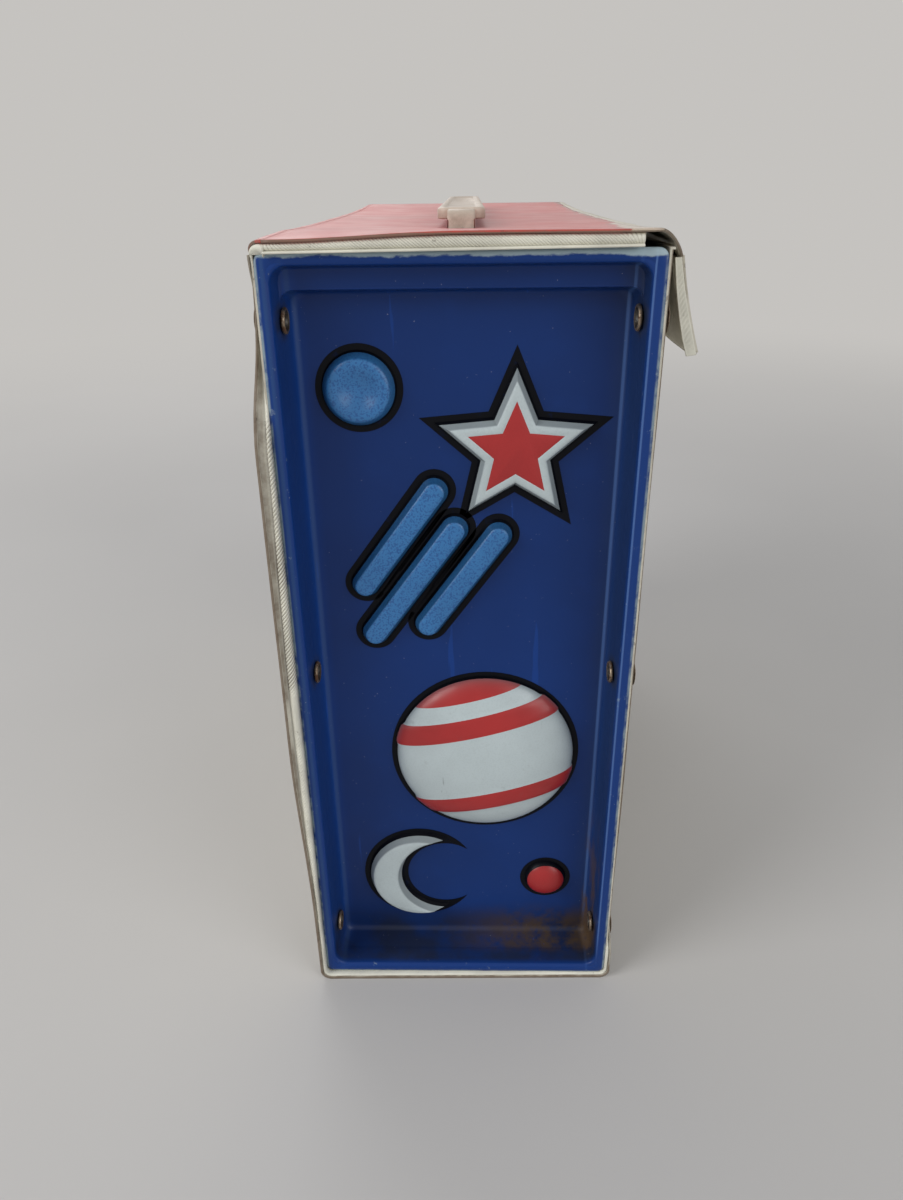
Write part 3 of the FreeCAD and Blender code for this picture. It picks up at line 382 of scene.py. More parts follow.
def tray_plastic(name):
    """Deep blue formed sheet: satin gloss, painted highlights on the rim and the bends, painted light on the
    left side and painted shade on the walls and the right side, bruised edges, dust and rust stains low
    down.
    """
    paint = Paint(name, Specular_IOR_Level=0.26)
    blue, wear = hue("tray"), hue("tray_wear")
    # Colours of painted light: shade on the side walls and on the right side, then highlights on the bends,
    # on the rim's crest and at its mouth
    shadow, corner = (0.018, 0.030, 0.058), (0.022, 0.042, 0.095)
    soft_bend_highlight, sharp_bend_highlight = (0.024, 0.066, 0.205), (0.055, 0.125, 0.33)
    bead_highlight, lip_highlight = (0.026, 0.072, 0.215), (0.095, 0.19, 0.44)
    soot, oil, dust = (0.014, 0.017, 0.028), (0.026, 0.027, 0.028), (0.42, 0.44, 0.48)
    rust_stain, rust_streak = (0.070, 0.042, 0.020), (0.090, 0.052, 0.026)
    x, y, z = paint.axes()
    across, depth = abs(x), abs(y)
    right = x * paint.math("SIGN", y) * -1.0
    left_half, right_half = right.fall(-MM, MM), right.rise(-MM, MM)
    heel = INNER - TRAY_RIM - PANEL_DEPTH * math.tan(TRAY_DRAFT)
    paint.ground(blue, 0.88, 1.14, paint.clouds(70).rise(0.3, 0.72))
    paint.coat(shade(blue, 1.5), paint.clouds(16, 4, 0.6).rise(0.52, 0.8) * 0.2)
    # painted light: the left side of the tray made lighter
    paint.coat(shade(blue, 2.4), right.fall(-45 * MM, -40 * MM) * 0.3)
    # painted shade: the right side of the tray made darker
    paint.coat(corner, right.rise(38 * MM, 45 * MM) * 0.35)
    wall = across.rise(heel - 0.3 * MM, heel + 0.6 * MM)
    # painted shade: the side walls made darker
    paint.coat(shadow, wall * 0.3)
    # painted highlights along the broad bend into the panel: soft on the left side, sharp on the right
    paint.coat(soft_bend_highlight, across.band(heel, -2.3, -1.4, -1.0, 0.1) * left_half * 0.7)
    paint.coat(sharp_bend_highlight, across.band(heel, -1.9, -1.5, -1.2, -0.6) * right_half * 0.75)
    rim = depth.rise(RIM - 3.0 * MM, RIM - 0.6 * MM)
    # painted highlight: the rim made lighter, where it catches the light
    paint.coat(shade(blue, 1.35), rim * 0.8)
    above = z.rise(TRAY_LOW.z + 2 * MM, TRAY_LOW.z + 20 * MM)
    # painted highlight: a pale line along the crest of the rim on the left side
    bead = across.band(INNER - 1.9 * MM, -0.9, -0.1, 0.2, 0.8) * above
    paint.coat(bead_highlight, bead * rim * left_half * 0.75)
    # painted highlight: a pale line at the mouth of the rim on the right side
    lip = across.band(INNER - TRAY_RIM, -0.1, 0.1, 0.3, 0.6) * above
    paint.coat(lip_highlight, lip * right_half * 0.7)
    for height in RIVET_HEIGHTS:
        off_y, off_z = depth - (RIM - RIVET_INSET), z - height
        ring = paint.math("SQRT", off_y * off_y + off_z * off_z).fall(3.4 * MM, 6.5 * MM)
        smear = ring * wall * (paint.clouds(4, 4, 0.6).rise(0.3, 0.6) * 0.6 + 0.2)
        paint.coat(oil, smear * 0.8)
    low_down = z.fall(TRAY_LOW.z + 6 * MM, TRAY_LOW.z + 20 * MM) * depth.fall(RIM - 3 * MM, RIM)
    sooty = low_down * (paint.clouds(22, 5, 0.6).rise(0.34, 0.58) * 0.6 + 0.4)
    paint.coat(soot, sooty * 0.8)
    side = right.rise(-14 * MM, 34 * MM)
    stain = low_down * depth.fall(RIM - 9 * MM, RIM - 4 * MM) * side
    stain = stain * paint.clouds(11, 6, 0.7).rise(0.34, 0.56)
    paint.coat(rust_stain, stain * 0.85)
    streak = across.rise(heel - 3 * MM, heel - 1 * MM) * depth.fall(RIM - 5 * MM, RIM - 2.5 * MM)
    streak = streak * z.fall(28 * MM, 70 * MM) * side
    streak = streak * paint.clouds(5, 5, 0.7, (1.0, 1.0, 0.25)).rise(0.40, 0.58)
    paint.coat(rust_streak, streak * 0.8)
    brink = paint.math("MAXIMUM", across.rise(INNER - 0.95 * MM, INNER - 0.4 * MM),
                       z.fall(TRAY_LOW.z + 0.3 * MM, TRAY_LOW.z + 0.9 * MM))
    paint.coat(wear, rim * brink * paint.clouds(7, 5, 0.7).rise(0.32, 0.6) * 0.8)
    ragged = paint.clouds(8, 5, 0.7, (0.5, 1.0, 1.0)) * (3.6 * MM)
    scuffed = (z + ragged + right * 0.006).rise(TRAY_HIGH.z + 0.1 * MM, TRAY_HIGH.z + 0.7 * MM)
    paint.coat(shade(wear, 1.4), rim * scuffed * 0.85)
    chips = rim * paint.clouds(3.6, 5, 0.75).rise(0.63, 0.70)
    paint.coat(wear, chips * 0.5)
    paint.coat(dust, paint.clouds(0.8, 2).rise(0.765, 0.785) * 0.5)
    scratch = paint.clouds(4, 3, 0.6, (1.0, 1.0, 0.05)).rise(0.70, 0.72)
    paint.coat(shade(blue, 2.6), scratch * 0.25)
    paint.emboss(paint.clouds(1.6), 0.03, 0.35)
    paint.emboss(paint.clouds(38, 2), 0.8, 0.22)
    gloss = paint.clouds(20, 4, 0.6).rise(0.3, 0.8) * 0.14
    return paint.done(gloss + stain * 0.3 + chips * 0.25 + 0.30)


def rubbed(paint, colour, share, roughness):
    """Rubs, fine scratches and sheen, the same on all painted motifs."""
    paint.coat(colour, paint.clouds(7, 5, 0.7).rise(0.60, 0.76) * share)
    scratch = paint.clouds(3, 3, 0.6, (1.0, 1.0, 0.06)).rise(0.705, 0.73)
    paint.coat(hue("ink"), scratch * 0.35)
    paint.emboss(paint.clouds(1.1), 0.03, 0.35)
    return paint.done(paint.clouds(9, 4).rise(0.3, 0.8) * 0.16 + roughness)


def relief_paint(name, key, speckle_key, speckle_shade, speckle_share, airbrush_and_slope_shade):
    """Sprayed paint on the raised motifs: speckle, slopes darkened by facing (airbrushed edging and painted
    shade), rubs and fine scratches.
    """
    paint = Paint(name, Specular_IOR_Level=0.5)
    colour = hue(key)
    paint.ground(colour, 0.93, 1.05, paint.clouds(24).rise(0.3, 0.7))
    spray = paint.clouds(0.55, 2, 0.6).rise(0.50, 0.60)
    paint.coat(shade(hue(speckle_key), speckle_shade), spray * speckle_share)
    # airbrushed edging and painted shade: the slopes darker the further they turn from the front
    paint.coat(shade(colour, 0.35), abs(paint.axes(paint.facing)[1]).fall(0.45, 0.95) * airbrush_and_slope_shade)
    return rubbed(paint, shade(colour, 0.62), 0.22, 0.30)


def planet_paint(name):
    """White and red belts across the planet, with slopes darkened by facing (airbrushed edging and painted
    shade), rubs and fine scratches.
    """
    paint = Paint(name, Specular_IOR_Level=0.5)
    white, red, bruise = hue("white_paint"), hue("red_paint"), (0.12, 0.11, 0.10)
    tone = paint.clouds(24).rise(0.3, 0.7)
    paint.ground(white, 0.93, 1.05, tone)
    paint.coat(shade(white, 0.6), paint.clouds(0.55, 2, 0.6).rise(0.5, 0.6) * 0.12)
    belt = paint.mix(shade(red, 0.85), shade(red, 1.08), tone)
    paint.coat(belt, paint.reading("belt").rise(0.49, 0.51))
    # airbrushed edging and painted shade: the dome's slopes darker the further they turn from the front
    paint.coat(shade(white, 0.3), abs(paint.axes(paint.facing)[1]).fall(0.35, 0.92) * 0.5)
    return rubbed(paint, bruise, 0.25, 0.28)


def ink_paint(name):
    """Printed outline, a little thin in places."""
    paint = Paint(name, Specular_IOR_Level=0.12)
    paint.surface = hue("ink")
    paint.coat(shade(hue("tray"), 0.5), paint.clouds(4, 4, 0.7).rise(0.58, 0.8) * 0.4)
    paint.emboss(paint.clouds(1.3), 0.02, 0.3)
    return paint.done(paint.clouds(8).rise(0.3, 0.8) * 0.18 + 0.30)


def welt_vinyl(name, attribute=None):
    """Heat-sealed cream edge, darker down in the grooves."""
    paint = Paint(name, attribute, Specular_IOR_Level=0.35)
    grime = hue("grime")
    paint.ground(hue("welt"), 0.86, 1.06, paint.clouds(12, 4, 0.6).rise(0.3, 0.7))
    uneven = paint.clouds(16, 4, 0.6).rise(0.3, 0.7) * 0.5 + 0.35
    paint.coat(shade(grime, 2.2), paint.reading("groove").rise(0.35, 1.0) * uneven)
    blotchy = paint.clouds(9, 5, 0.7).rise(0.25, 0.7) * 0.5 + 0.5
    paint.coat(shade(grime, 2.0), paint.reading("soiled") * blotchy)
    paint.coat(shade(grime, 1.2), paint.clouds(5, 5, 0.7).rise(0.64, 0.72) * 0.6)
    paint.emboss(paint.clouds(0.5), 0.05, 0.5)
    return paint.done(paint.clouds(5).rise(0.3, 0.8) * 0.2 + 0.48)


def rusty_steel(name, light):
    """Plated steel gone brown: rust where the plating has failed; down the bores the rust is painted near
    black as shade.
    """
    paint = Paint(name, Specular_IOR_Level=0.5)
    # light scales every colour: 1 on the heads, near 0 down the bores, where it is painted shade over the
    # rust
    rust = shade(hue("rust"), light)
    dull_plate, bright_plate = shade((0.24, 0.18, 0.12), light), shade((0.42, 0.34, 0.25), light)
    decay = paint.clouds(2.4, 5, 0.7).rise(0.44, 0.60)
    paint.surface = paint.mix(dull_plate, bright_plate, paint.clouds(5).rise(0.3, 0.7))
    paint.coat(rust, decay)
    paint.coat(shade(rust, 0.35), paint.clouds(1.1, 4, 0.7).rise(0.58, 0.7) * 0.8)
    paint.emboss(paint.clouds(0.7, 4, 0.7), 0.10, 0.6)
    paint.feed(paint.shader.inputs["Metallic"], (decay * -0.75 + 0.85) * light)
    return paint.done(decay * 0.42 + 0.36)


def plated(name, key, tarnish):
    """Dull plated metal, finely pitted and tarnished."""
    paint = Paint(name, Metallic=1.0)
    brown = (0.10, 0.075, 0.05)
    stain = paint.clouds(2.6, 5, 0.7).rise(0.46, 0.7) * tarnish
    paint.surface = hue(key)
    paint.coat(brown, stain)
    paint.emboss(paint.clouds(0.5), 0.02, 0.4)
    return paint.done(paint.clouds(3, 4).rise(0.3, 0.8) * 0.2 + stain * 0.3 + 0.24)


def moulded(name):
    """Moulded cream plastic, darker low down near the lid, with a handled sheen."""
    paint = Paint(name, Specular_IOR_Level=0.45)
    grime = hue("grime")
    paint.ground(hue("handle"), 0.90, 1.08, paint.clouds(18, 4, 0.6).rise(0.3, 0.7))
    under = paint.axes()[2].fall(LID_HIGH.z + 0.4 * MM, LID_HIGH.z + 4.5 * MM)
    paint.coat(shade(grime, 2.4), under * paint.clouds(4, 5, 0.7).rise(0.3, 0.7) * 0.55)
    scratch = paint.clouds(2.2, 3, 0.6, (1.0, 0.08, 1.0)).rise(0.64, 0.70)
    paint.coat(shade(grime, 3.2), scratch * 0.35)
    paint.emboss(paint.clouds(0.8), 0.04, 0.4)
    return paint.done(paint.clouds(7, 4).rise(0.3, 0.8) * 0.18 + 0.34)


def card_board(name):
    """Grey-brown card with fibres."""
    paint = Paint(name, Specular_IOR_Level=0.2)
    fibre = paint.clouds(1.2, 5, 0.7, (1.0, 0.2, 1.0))
    paint.ground(hue("card"), 0.75, 1.2, fibre.rise(0.3, 0.7))
    paint.emboss(fibre, 0.08, 0.6)
    return paint.done(paint.clouds(6).rise(0.3, 0.8) * 0.12 + 0.78)


RECIPES = {
    "case_vinyl": (vinyl, "cream", 1.0, "rest_place"),
    "flap_vinyl": (vinyl, "cream", 0.8, "rest_place"),
    "flap_lining": (vinyl, "lining", 0.5, "rest_place"),
    "fold_vinyl": (vinyl, "cream", 1.0, "rest_place"),
    "lid_vinyl": (vinyl, "lid", 0.45, None, (0.60, 0.30, 0.26), 0.24, True),
    "hinge_vinyl": (vinyl, "lid", 0.5, "rest_place", (0.62, 0.34, 0.29), 0.25),
    "lining_vinyl": (vinyl, "lining", 0.5),
    "tray_plastic": (tray_plastic,),
    "planet_paint": (planet_paint,),
    "white_paint": (relief_paint, "white_paint", "white_paint", 0.6, 0.12, 0.55),
    "red_paint": (relief_paint, "red_paint", "red_paint", 0.6, 0.10, 0.5),
    "sky_paint": (relief_paint, "sky_paint", "tray", 1.3, 0.55, 0.7),
    "ink": (ink_paint,),
    "welt": (welt_vinyl,),
    "fold_welt": (welt_vinyl, "rest_place"),
    "rivet_steel": (rusty_steel, 1.0),
    # the bores: rust painted near black, as shade down the holes
    "rivet_bore": (rusty_steel, 0.12),
    "snap_nickel": (plated, "nickel", 0.7),
    "keeper_steel": (plated, "keeper", 0.5),
    "handle_plastic": (moulded,),
    "card": (card_board,),
}


# Mesh helpers

def make_piece(bm, name, body, finishes, replaces=(), crease=40, thickness=0.0):
    """Turn a bmesh into a piece that rides on a body; a body of None is left for a blend.

    A sheet gets its thickness on the inner side.
    """
    mesh = bpy.data.meshes.new(name)
    bm.to_mesh(mesh)
    bm.free()
    for item in finishes:
        mesh.materials.append(finish(item))
    mesh.shade_smooth()
    mesh.set_sharp_from_angle(angle=math.radians(crease))
    obj = bpy.data.objects.new(name, mesh)
    bpy.context.scene.collection.objects.link(obj)
    if body:
        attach(obj, body)
    if replaces:
        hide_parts(*replaces)
    if thickness:
        sheet = obj.modifiers.new("Sheet", "SOLIDIFY")
        sheet.thickness = thickness
        sheet.offset = -1.0
    return obj


def dress(node_name, finish_name):
    """Give a carried-over solid its finish."""
    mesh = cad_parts[node_name].data
    mesh.materials.clear()
    mesh.materials.append(finish(finish_name))


def keep_place(bm):
    """Remember each vertex's place at rest, so that a pattern stays on a sheet that bends."""
    layer = bm.verts.layers.float_vector.new("rest_place")
    for vert in bm.verts:
        vert[layer] = vert.co
    return layer


def sheet_grid(low, high, steps):
    """A flat grid of quads between two corners of the XY plane."""
    bm = bmesh.new()
    bmesh.ops.create_grid(bm, x_segments=steps[0], y_segments=steps[1], size=0.5)
    bmesh.ops.scale(bm, vec=(high[0] - low[0], high[1] - low[1], 1), verts=bm.verts)
    bmesh.ops.translate(bm, vec=((low[0] + high[0]) / 2, (low[1] + high[1]) / 2, 0), verts=bm.verts)
    return bm


def plain_box(bm, low, high):
    """A box between two corners; returns its vertices."""
    verts = bmesh.ops.create_cube(bm, size=1)["verts"]
    bmesh.ops.scale(bm, vec=high - low, verts=verts)
    bmesh.ops.translate(bm, vec=(low + high) / 2, verts=verts)
    return verts


def bevelled(bm, edges, offset, segments):
    """Round off edges."""
    bmesh.ops.bevel(bm, geom=edges, offset=offset, affect="EDGES", segments=segments, profile=0.5,
                    material=-1)


def once(items):
    """Each of some items once, in their order."""
    return list(dict.fromkeys(items))


def rounded_box(bm, low, high, radius):
    """A box with rounded edges."""
    verts = plain_box(bm, low, high)
    bevelled(bm, once(edge for vert in verts for edge in vert.link_edges), radius, 2)


def span(edge, axis):
    """How far an edge reaches along an axis."""
    return abs(edge.verts[0].co[axis] - edge.verts[1].co[axis])


def faces_of(verts):
    """All faces that meet at some vertices."""
    return once(face for vert in verts for face in vert.link_faces)


def face_outwards(bm, outwards):
    """Point a sheet's faces along the direction that outwards gives for a place."""
    bmesh.ops.recalc_face_normals(bm, faces=bm.faces)
    if sum(face.normal.dot(outwards(face.calc_center_median())) for face in bm.faces) < 0:
        bmesh.ops.reverse_faces(bm, faces=bm.faces)


def stray(place, seed, grain):
    """Smooth unevenness between about -1 and 1."""
    return noise.noise(place / (grain * MM) + Vector((seed, seed * 0.37, seed * 0.71)))


def rising(value, low, high):
    """0 below low, 1 above high and smooth between."""
    share = max(0.0, min(1.0, (value - low) / (high - low)))
    return share * share * (3 - 2 * share)


def falling(value, low, high):
    """1 below low, 0 above high and smooth between."""
    return rising(-value, -high, -low)


def near_end(along, ease, end=END):
    """A smooth rise from 0 to 1 over the last stretch before the near end."""
    return rising(-along, end - ease, end)


def turned(bm, profile, steps, matrix):
    """Spin a half section of (radius, height) points about Z and place it; returns its faces."""
    verts = [bm.verts.new((radius, 0, height)) for radius, height in profile]
    edges = [bm.edges.new(pair) for pair in zip(verts, verts[1:])]
    bmesh.ops.spin(bm, geom=verts + edges, cent=(0, 0, 0), axis=(0, 0, 1), dvec=(0, 0, 0),
                   angle=2 * math.pi, steps=steps, use_merge=True)
    island = linked(verts[0])
    bmesh.ops.remove_doubles(bm, verts=island, dist=WELD)
    island = [vert for vert in island if vert.is_valid]
    faces = faces_of(island)
    bmesh.ops.recalc_face_normals(bm, faces=faces)
    bmesh.ops.transform(bm, matrix=matrix, verts=island)
    return faces


def linked(vert):
    """All vertices joined to one by edges."""
    found, queue = {vert: True}, [vert]
    while queue:
        for edge in queue.pop().link_edges:
            for other in edge.verts:
                if other not in found:
                    found[other] = True
                    queue.append(other)
    return list(found)


# Relief of the end trays, in the panel's own frame: X to the right, Y up from the tray's foot, Z outwards

INK, WHITE, RED, SKY, GLOBE = range(5)
RELIEF_FINISHES = ("ink", "white_paint", "red_paint", "sky_paint", "planet_paint")
PRINT = 0.12 * MM
CLEAR = 0.4 * MM
PAINT_LIFT = 0.3 * MM
STREAK_STEPS = 48
CORNER_STEPS = 10


def layered(bm, outline, levels, segments):
    """A motif made of rings: each level is an offset of the outline, its height and the paint above it."""
    last = len(levels) - 1
    verts = bmesh.ops.create_grid(bm, x_segments=segments, y_segments=last, size=1)["verts"]
    faces = faces_of(verts)
    for face in faces:
        face.material_index = levels[int((face.calc_center_median().y + 1) / 2 * last)][2]
    rims = {}
    for vert in verts:
        turn = round((vert.co.x + 1) / 2 * segments) % segments
        rank = round((vert.co.y + 1) / 2 * last)
        offset, height = levels[rank][:2]
        vert.co = (*outline(turn / segments, offset), height)
        rims[vert] = rank
    crown = once(edge for vert in verts for edge in vert.link_edges
                 if all(rims[end] == last for end in edge.verts))
    cap = bmesh.ops.contextual_create(bm, geom=crown)["faces"]
    for face in cap:
        face.material_index = levels[last][2]
    bmesh.ops.remove_doubles(bm, verts=verts, dist=WELD)
    faces = [face for face in faces + cap if face.is_valid]
    bmesh.ops.recalc_face_normals(bm, faces=faces)
    if sum(face.normal.z * face.calc_area() for face in faces) < 0:
        bmesh.ops.reverse_faces(bm, faces=faces)


def inked(clear):
    """Levels of the printed ring and the inked foot of a motif."""
    return [(clear + sizes().ink_width, PRINT, INK), (clear, PRINT, INK)]


def raised(paint, border=None):
    """Levels of a flat motif: printed ring, inked foot, sloping side and rounded crown."""
    height, draft, crown = sizes().relief_height + PAINT_LIFT, sizes().relief_draft, sizes().crown
    side = border or paint
    shoulder = height - 0.75 * crown
    slope = draft * shoulder / height
    levels = inked(CLEAR) + [(CLEAR - 0.32 * draft, 0.32 * height, side), (CLEAR - slope, shoulder, side)]
    for step in range(1, 5):
        turn = step / 4 * math.pi / 2
        inward = slope + crown * (1 - math.cos(turn))
        levels.append((CLEAR - inward, shoulder + 0.75 * crown * math.sin(turn), side))
    inner = levels[-1][0]
    if border:
        levels.append((inner - 1.0 * MM, height + 0.02 * MM, border))
        inner -= 1.3 * MM
        levels.append((inner, height - 0.1 * MM, paint))
    levels.append((inner - 0.8 * MM, height + 0.1 * MM, paint))
    return levels


def circle_outline(centre, radius):
    """Points round a circle, grown by an offset."""
    def at(turn, offset):
        angle = 2 * math.pi * turn
        reach = radius + offset
        return centre[0] + reach * math.cos(angle), centre[1] + reach * math.sin(angle)
    return at


def star_outline(centre, radius, waist):
    """Points along the edges of a five-armed star, scaled so that its edges move by the offset."""
    corner = math.pi / 5
    to_edge = radius * waist * math.sin(corner) / math.hypot(radius - waist * math.cos(corner),
                                                             waist * math.sin(corner))

    def tip(index):
        reach = waist if index % 2 else radius
        angle = math.pi / 2 + corner * index
        return Vector((reach * math.cos(angle), reach * math.sin(angle)))

    def at(turn, offset):
        index = int(turn * 10 + 1e-6)
        spot = tip(index).lerp(tip(index + 1), turn * 10 - index) * (1 + offset / to_edge)
        return centre[0] + spot.x, centre[1] + spot.y
    return at


def streak_outline(first, last, radius):
    """Points round a straight slot with half-round ends."""
    heading = math.atan2(last[1] - first[1], last[0] - first[0])

    def at(turn, offset):
        end = last if turn < 0.5 else first
        share = (turn % 0.5) / (0.5 - 1 / STREAK_STEPS)
        angle = heading + math.pi * (share - 0.5) + (0 if turn < 0.5 else math.pi)
        reach = radius + offset
        return end[0] + reach * math.cos(angle), end[1] + reach * math.sin(angle)
    return at


def moon_outline(centre, radius, bite, shift):
    """Points round a crescent: back along a large circle, home along a smaller one shifted to the right."""
    def at(turn, offset):
        outer, inner = radius + offset, bite - offset
        reach = (shift * shift + outer * outer - inner * inner) / (2 * shift)
        tip = math.acos(reach / outer)
        inner_tip = math.acos((reach - shift) / inner)
        if turn < 0.5:
            angle = tip + (2 * math.pi - 2 * tip) * turn * 2
            return centre[0] + outer * math.cos(angle), centre[1] + outer * math.sin(angle)
        angle = 2 * math.pi - inner_tip - (2 * math.pi - 2 * inner_tip) * (turn * 2 - 1)
        return centre[0] + shift + inner * math.cos(angle), centre[1] + inner * math.sin(angle)
    return at


def planet_motif(bm, centre, radius, height, tilt, belts):
    """A flattened globe cut at the panel, its belts raised as hoops and marked for the paint."""
    verts = bmesh.ops.create_uvsphere(bm, u_segments=72, v_segments=60, radius=1)["verts"]
    turn = Matrix.Rotation(tilt, 4, "Z") @ Matrix.Rotation(-math.pi / 2, 4, "X")
    layer = bm.verts.layers.float["belt"]
    for vert in verts:
        latitude = math.degrees(math.asin(max(-1, min(1, vert.co.z))))
        for low, high, hoop in belts:
            if low - 0.1 <= latitude <= high + 0.1:
                vert[layer] = 1.0
                vert.co *= 1 + hoop
    bmesh.ops.transform(bm, matrix=turn, verts=verts)
    bmesh.ops.scale(bm, vec=(radius, radius, height), verts=verts)
    bmesh.ops.translate(bm, vec=(*centre, 0), verts=verts)
    faces = faces_of(verts)
    geom = verts + faces + once(edge for face in faces for edge in face.edges)
    cut = bmesh.ops.bisect_plane(bm, geom=geom, dist=1e-7, plane_co=(0, 0, 0), plane_no=(0, 0, 1),
                                 clear_inner=True)
    geom = [item for item in cut["geom"] if item.is_valid]
    foot = 1.1 * MM
    cut = bmesh.ops.bisect_plane(bm, geom=geom, dist=1e-7, plane_co=(0, 0, foot), plane_no=(0, 0, 1))
    for face in cut["geom"]:
        if isinstance(face, bmesh.types.BMFace):
            face.material_index = GLOBE if face.calc_center_median().z > foot else INK
    ring = [(sizes().ink_width, PRINT, INK), (-1 * MM, PRINT, INK)]
    layered(bm, circle_outline(centre, radius), ring, 72)


def disc_levels(height, draft):
    """Levels of the dished disc: inked foot, round lip and shallow bowl."""
    lip = -draft - 0.3 * MM
    section = [(-1.0, -0.6), (-0.4, -0.1), (0.6, 0.06), (1.3, 0.0), (2.6, -0.55), (4.2, -1.3), (5.6, -1.85),
               (6.8, -2.12), (7.6, -2.2)]
    levels = inked(CLEAR) + [(-0.1 * MM, 0.3 * height, SKY)]
    return levels + [(lip - inward * MM, height + rise * MM, SKY) for inward, rise in section]


def dome_levels(radius, height):
    """Levels of the small domed dot."""
    foot = 0.3 * MM
    levels = inked(foot)
    for step in range(1, 10):
        angle = step * math.pi / 20
        offset = (radius + foot) * math.cos(angle) - radius
        levels.append((offset, height * math.sin(angle), RED if step > 2 else INK))
    return levels


def build_relief(name, matrix):
    """All motifs of one tray as one painted piece."""
    bm = bmesh.new()
    bm.verts.layers.float.new("belt")
    height, draft = sizes().relief_height, sizes().relief_draft
    planet = (7 * MM, TRAY_HEIGHT / 2 - 35.5 * MM)
    planet_motif(bm, planet, radius=29.4 * MM, height=8.5 * MM, tilt=math.radians(14),
                 belts=((-36, -24, 0.024), (24, 36, 0.024), (54, 90, 0.0)))
    star = Vector((15 * MM, TRAY_HEIGHT - 53 * MM))
    layered(bm, star_outline(star, radius=23 * MM, waist=10.5 * MM), raised(RED, WHITE), 60)
    slant = math.radians(234)
    along = Vector((math.cos(slant), math.sin(slant)))
    across = Vector((-along.y, along.x))
    for lane in (-1, 0, 1):
        start = (29.5 - 6 * abs(lane)) * MM
        stop = start + (42 - 6 * abs(lane)) * MM
        aside = star + across * (lane * 11.5 * MM)
        streak = streak_outline(aside + along * start, aside + along * stop, radius=4.25 * MM)
        layered(bm, streak, raised(SKY), STREAK_STEPS)
    moon = moon_outline((-16 * MM, 33 * MM), radius=18 * MM, bite=15.5 * MM, shift=9 * MM)
    layered(bm, moon, raised(WHITE), 96)
    disc = circle_outline((-28 * MM, TRAY_HEIGHT - 36 * MM), radius=10 * MM)
    layered(bm, disc, disc_levels(height + PAINT_LIFT, draft), 64)
    dot_radius = 7 * MM
    dot = circle_outline((29 * MM, 31 * MM), dot_radius)
    layered(bm, dot, dome_levels(dot_radius, height + 0.2 * MM), 48)
    bmesh.ops.transform(bm, matrix=matrix @ PANEL_FRAME, verts=bm.verts)
    make_piece(bm, name, "case", RELIEF_FINISHES, crease=35)


def tray_outline(turn, ring):
    """Points round a rounded rectangle set in from the tray's outline, its top edge lowered by a drop."""
    inset, drop = ring
    half, high, low = INNER - inset, TRAY_HEIGHT - inset - drop, inset
    bend = 2.6 * MM + 0.1 * inset
    quarter, share = divmod(turn * 4, 1)
    share = min(1.0, share * CORNER_STEPS / (CORNER_STEPS - 1))
    angle = math.pi / 2 * (quarter + share)
    x_sign, y_sign = ((1, 1), (-1, 1), (-1, -1), (1, -1))[int(quarter) % 4]
    centre_y = high - bend if y_sign > 0 else low + bend
    return x_sign * (half - bend) + bend * math.cos(angle), centre_y + bend * math.sin(angle)


def build_tray_face(name, matrix):
    """The sheet's outer face: rolled rim, drafted walls, stepped lintel and broad bend into the panel."""
    lift, shelf, lintel, bend = 0.07 * MM, 7 * MM, 5.4 * MM, 2.0 * MM

    def wall(depth):
        return TRAY_RIM + lift + depth * math.tan(TRAY_DRAFT)

    rim_section = [(-0.06, -0.95), (-0.06, -0.35), (0.12, 0.04), (0.6, 0.24), (1.4, 0.32), (2.2, 0.2),
                   (2.8, -0.12), (3.15, -0.6), (3.3, -1.3)]
    levels = [((inset * MM, 0), PANEL_DEPTH + rise * MM, 0) for inset, rise in rim_section]
    for fall, drop in ((-1.1, 0.0), (-0.35, 0.12), (-0.06, 0.7), (0.0, 4.7), (0.25, 5.3), (0.9, 5.45)):
        inset = wall(shelf + max(0, fall) * MM)
        levels.append(((inset, drop * MM), PANEL_DEPTH - shelf - fall * MM + lift, 0))
    for step in range(7):
        angle = TRAY_DRAFT + (math.pi / 2 - TRAY_DRAFT) * step / 6
        inset = wall(PANEL_DEPTH) + bend * (1 - math.cos(angle))
        levels.append(((inset, lintel), 0.06 * MM + bend * (1 - math.sin(angle)), 0))
    bm = bmesh.new()
    layered(bm, tray_outline, levels, 4 * CORNER_STEPS)
    bmesh.ops.transform(bm, matrix=matrix @ PANEL_FRAME, verts=bm.verts)
    make_piece(bm, name, "case", ("tray_plastic",), crease=70, thickness=0.4 * MM)


class LUNCHBOX_OT_trays(bpy.types.Operator):
    """Finish the formed end trays and lay the painted relief over their embossing"""

    bl_idname = "lunchbox.trays"
    bl_label = "End Trays"

    def execute(self, context):
        for end, turn in (("near", Matrix.Identity(4)), ("far", HALF_TURN)):
            dress(f"{end}_end_tray", "tray_plastic")
            build_tray_face(f"{end}_tray_face", turn)
            build_relief(f"{end}_relief", turn)
        return {"FINISHED"}


# Vinyl walls

def bulge(height):
    """How far the back wall's worn end bows out at a height of the case, from 0 to 1."""
    return rising(height, 30 * MM, 100 * MM) * falling(height, 204 * MM, 236 * MM)


def worn_end(s):
    """How far the vinyl's near end stands out and is set back, by the way round from the back top edge."""
    foot, toe = BACK_TOP, BACK_TOP + 2 * OUTER
    tucked = max(falling(s, 22 * MM, 50 * MM), rising(s, toe + 2 * MM, toe + 16 * MM))
    under = rising(s, foot - 30 * MM, foot + 10 * MM) * falling(s, toe, toe + 14 * MM)
    slide = max(0.0, min(1.0, (s - foot) / (2 * OUTER)))
    bow = BOW * bulge(BACK_TOP - s) if s < foot else 0.0
    return bow - PINCH * tucked, SETBACK * tucked + under * (0.8 + 1.4 * slide) * MM


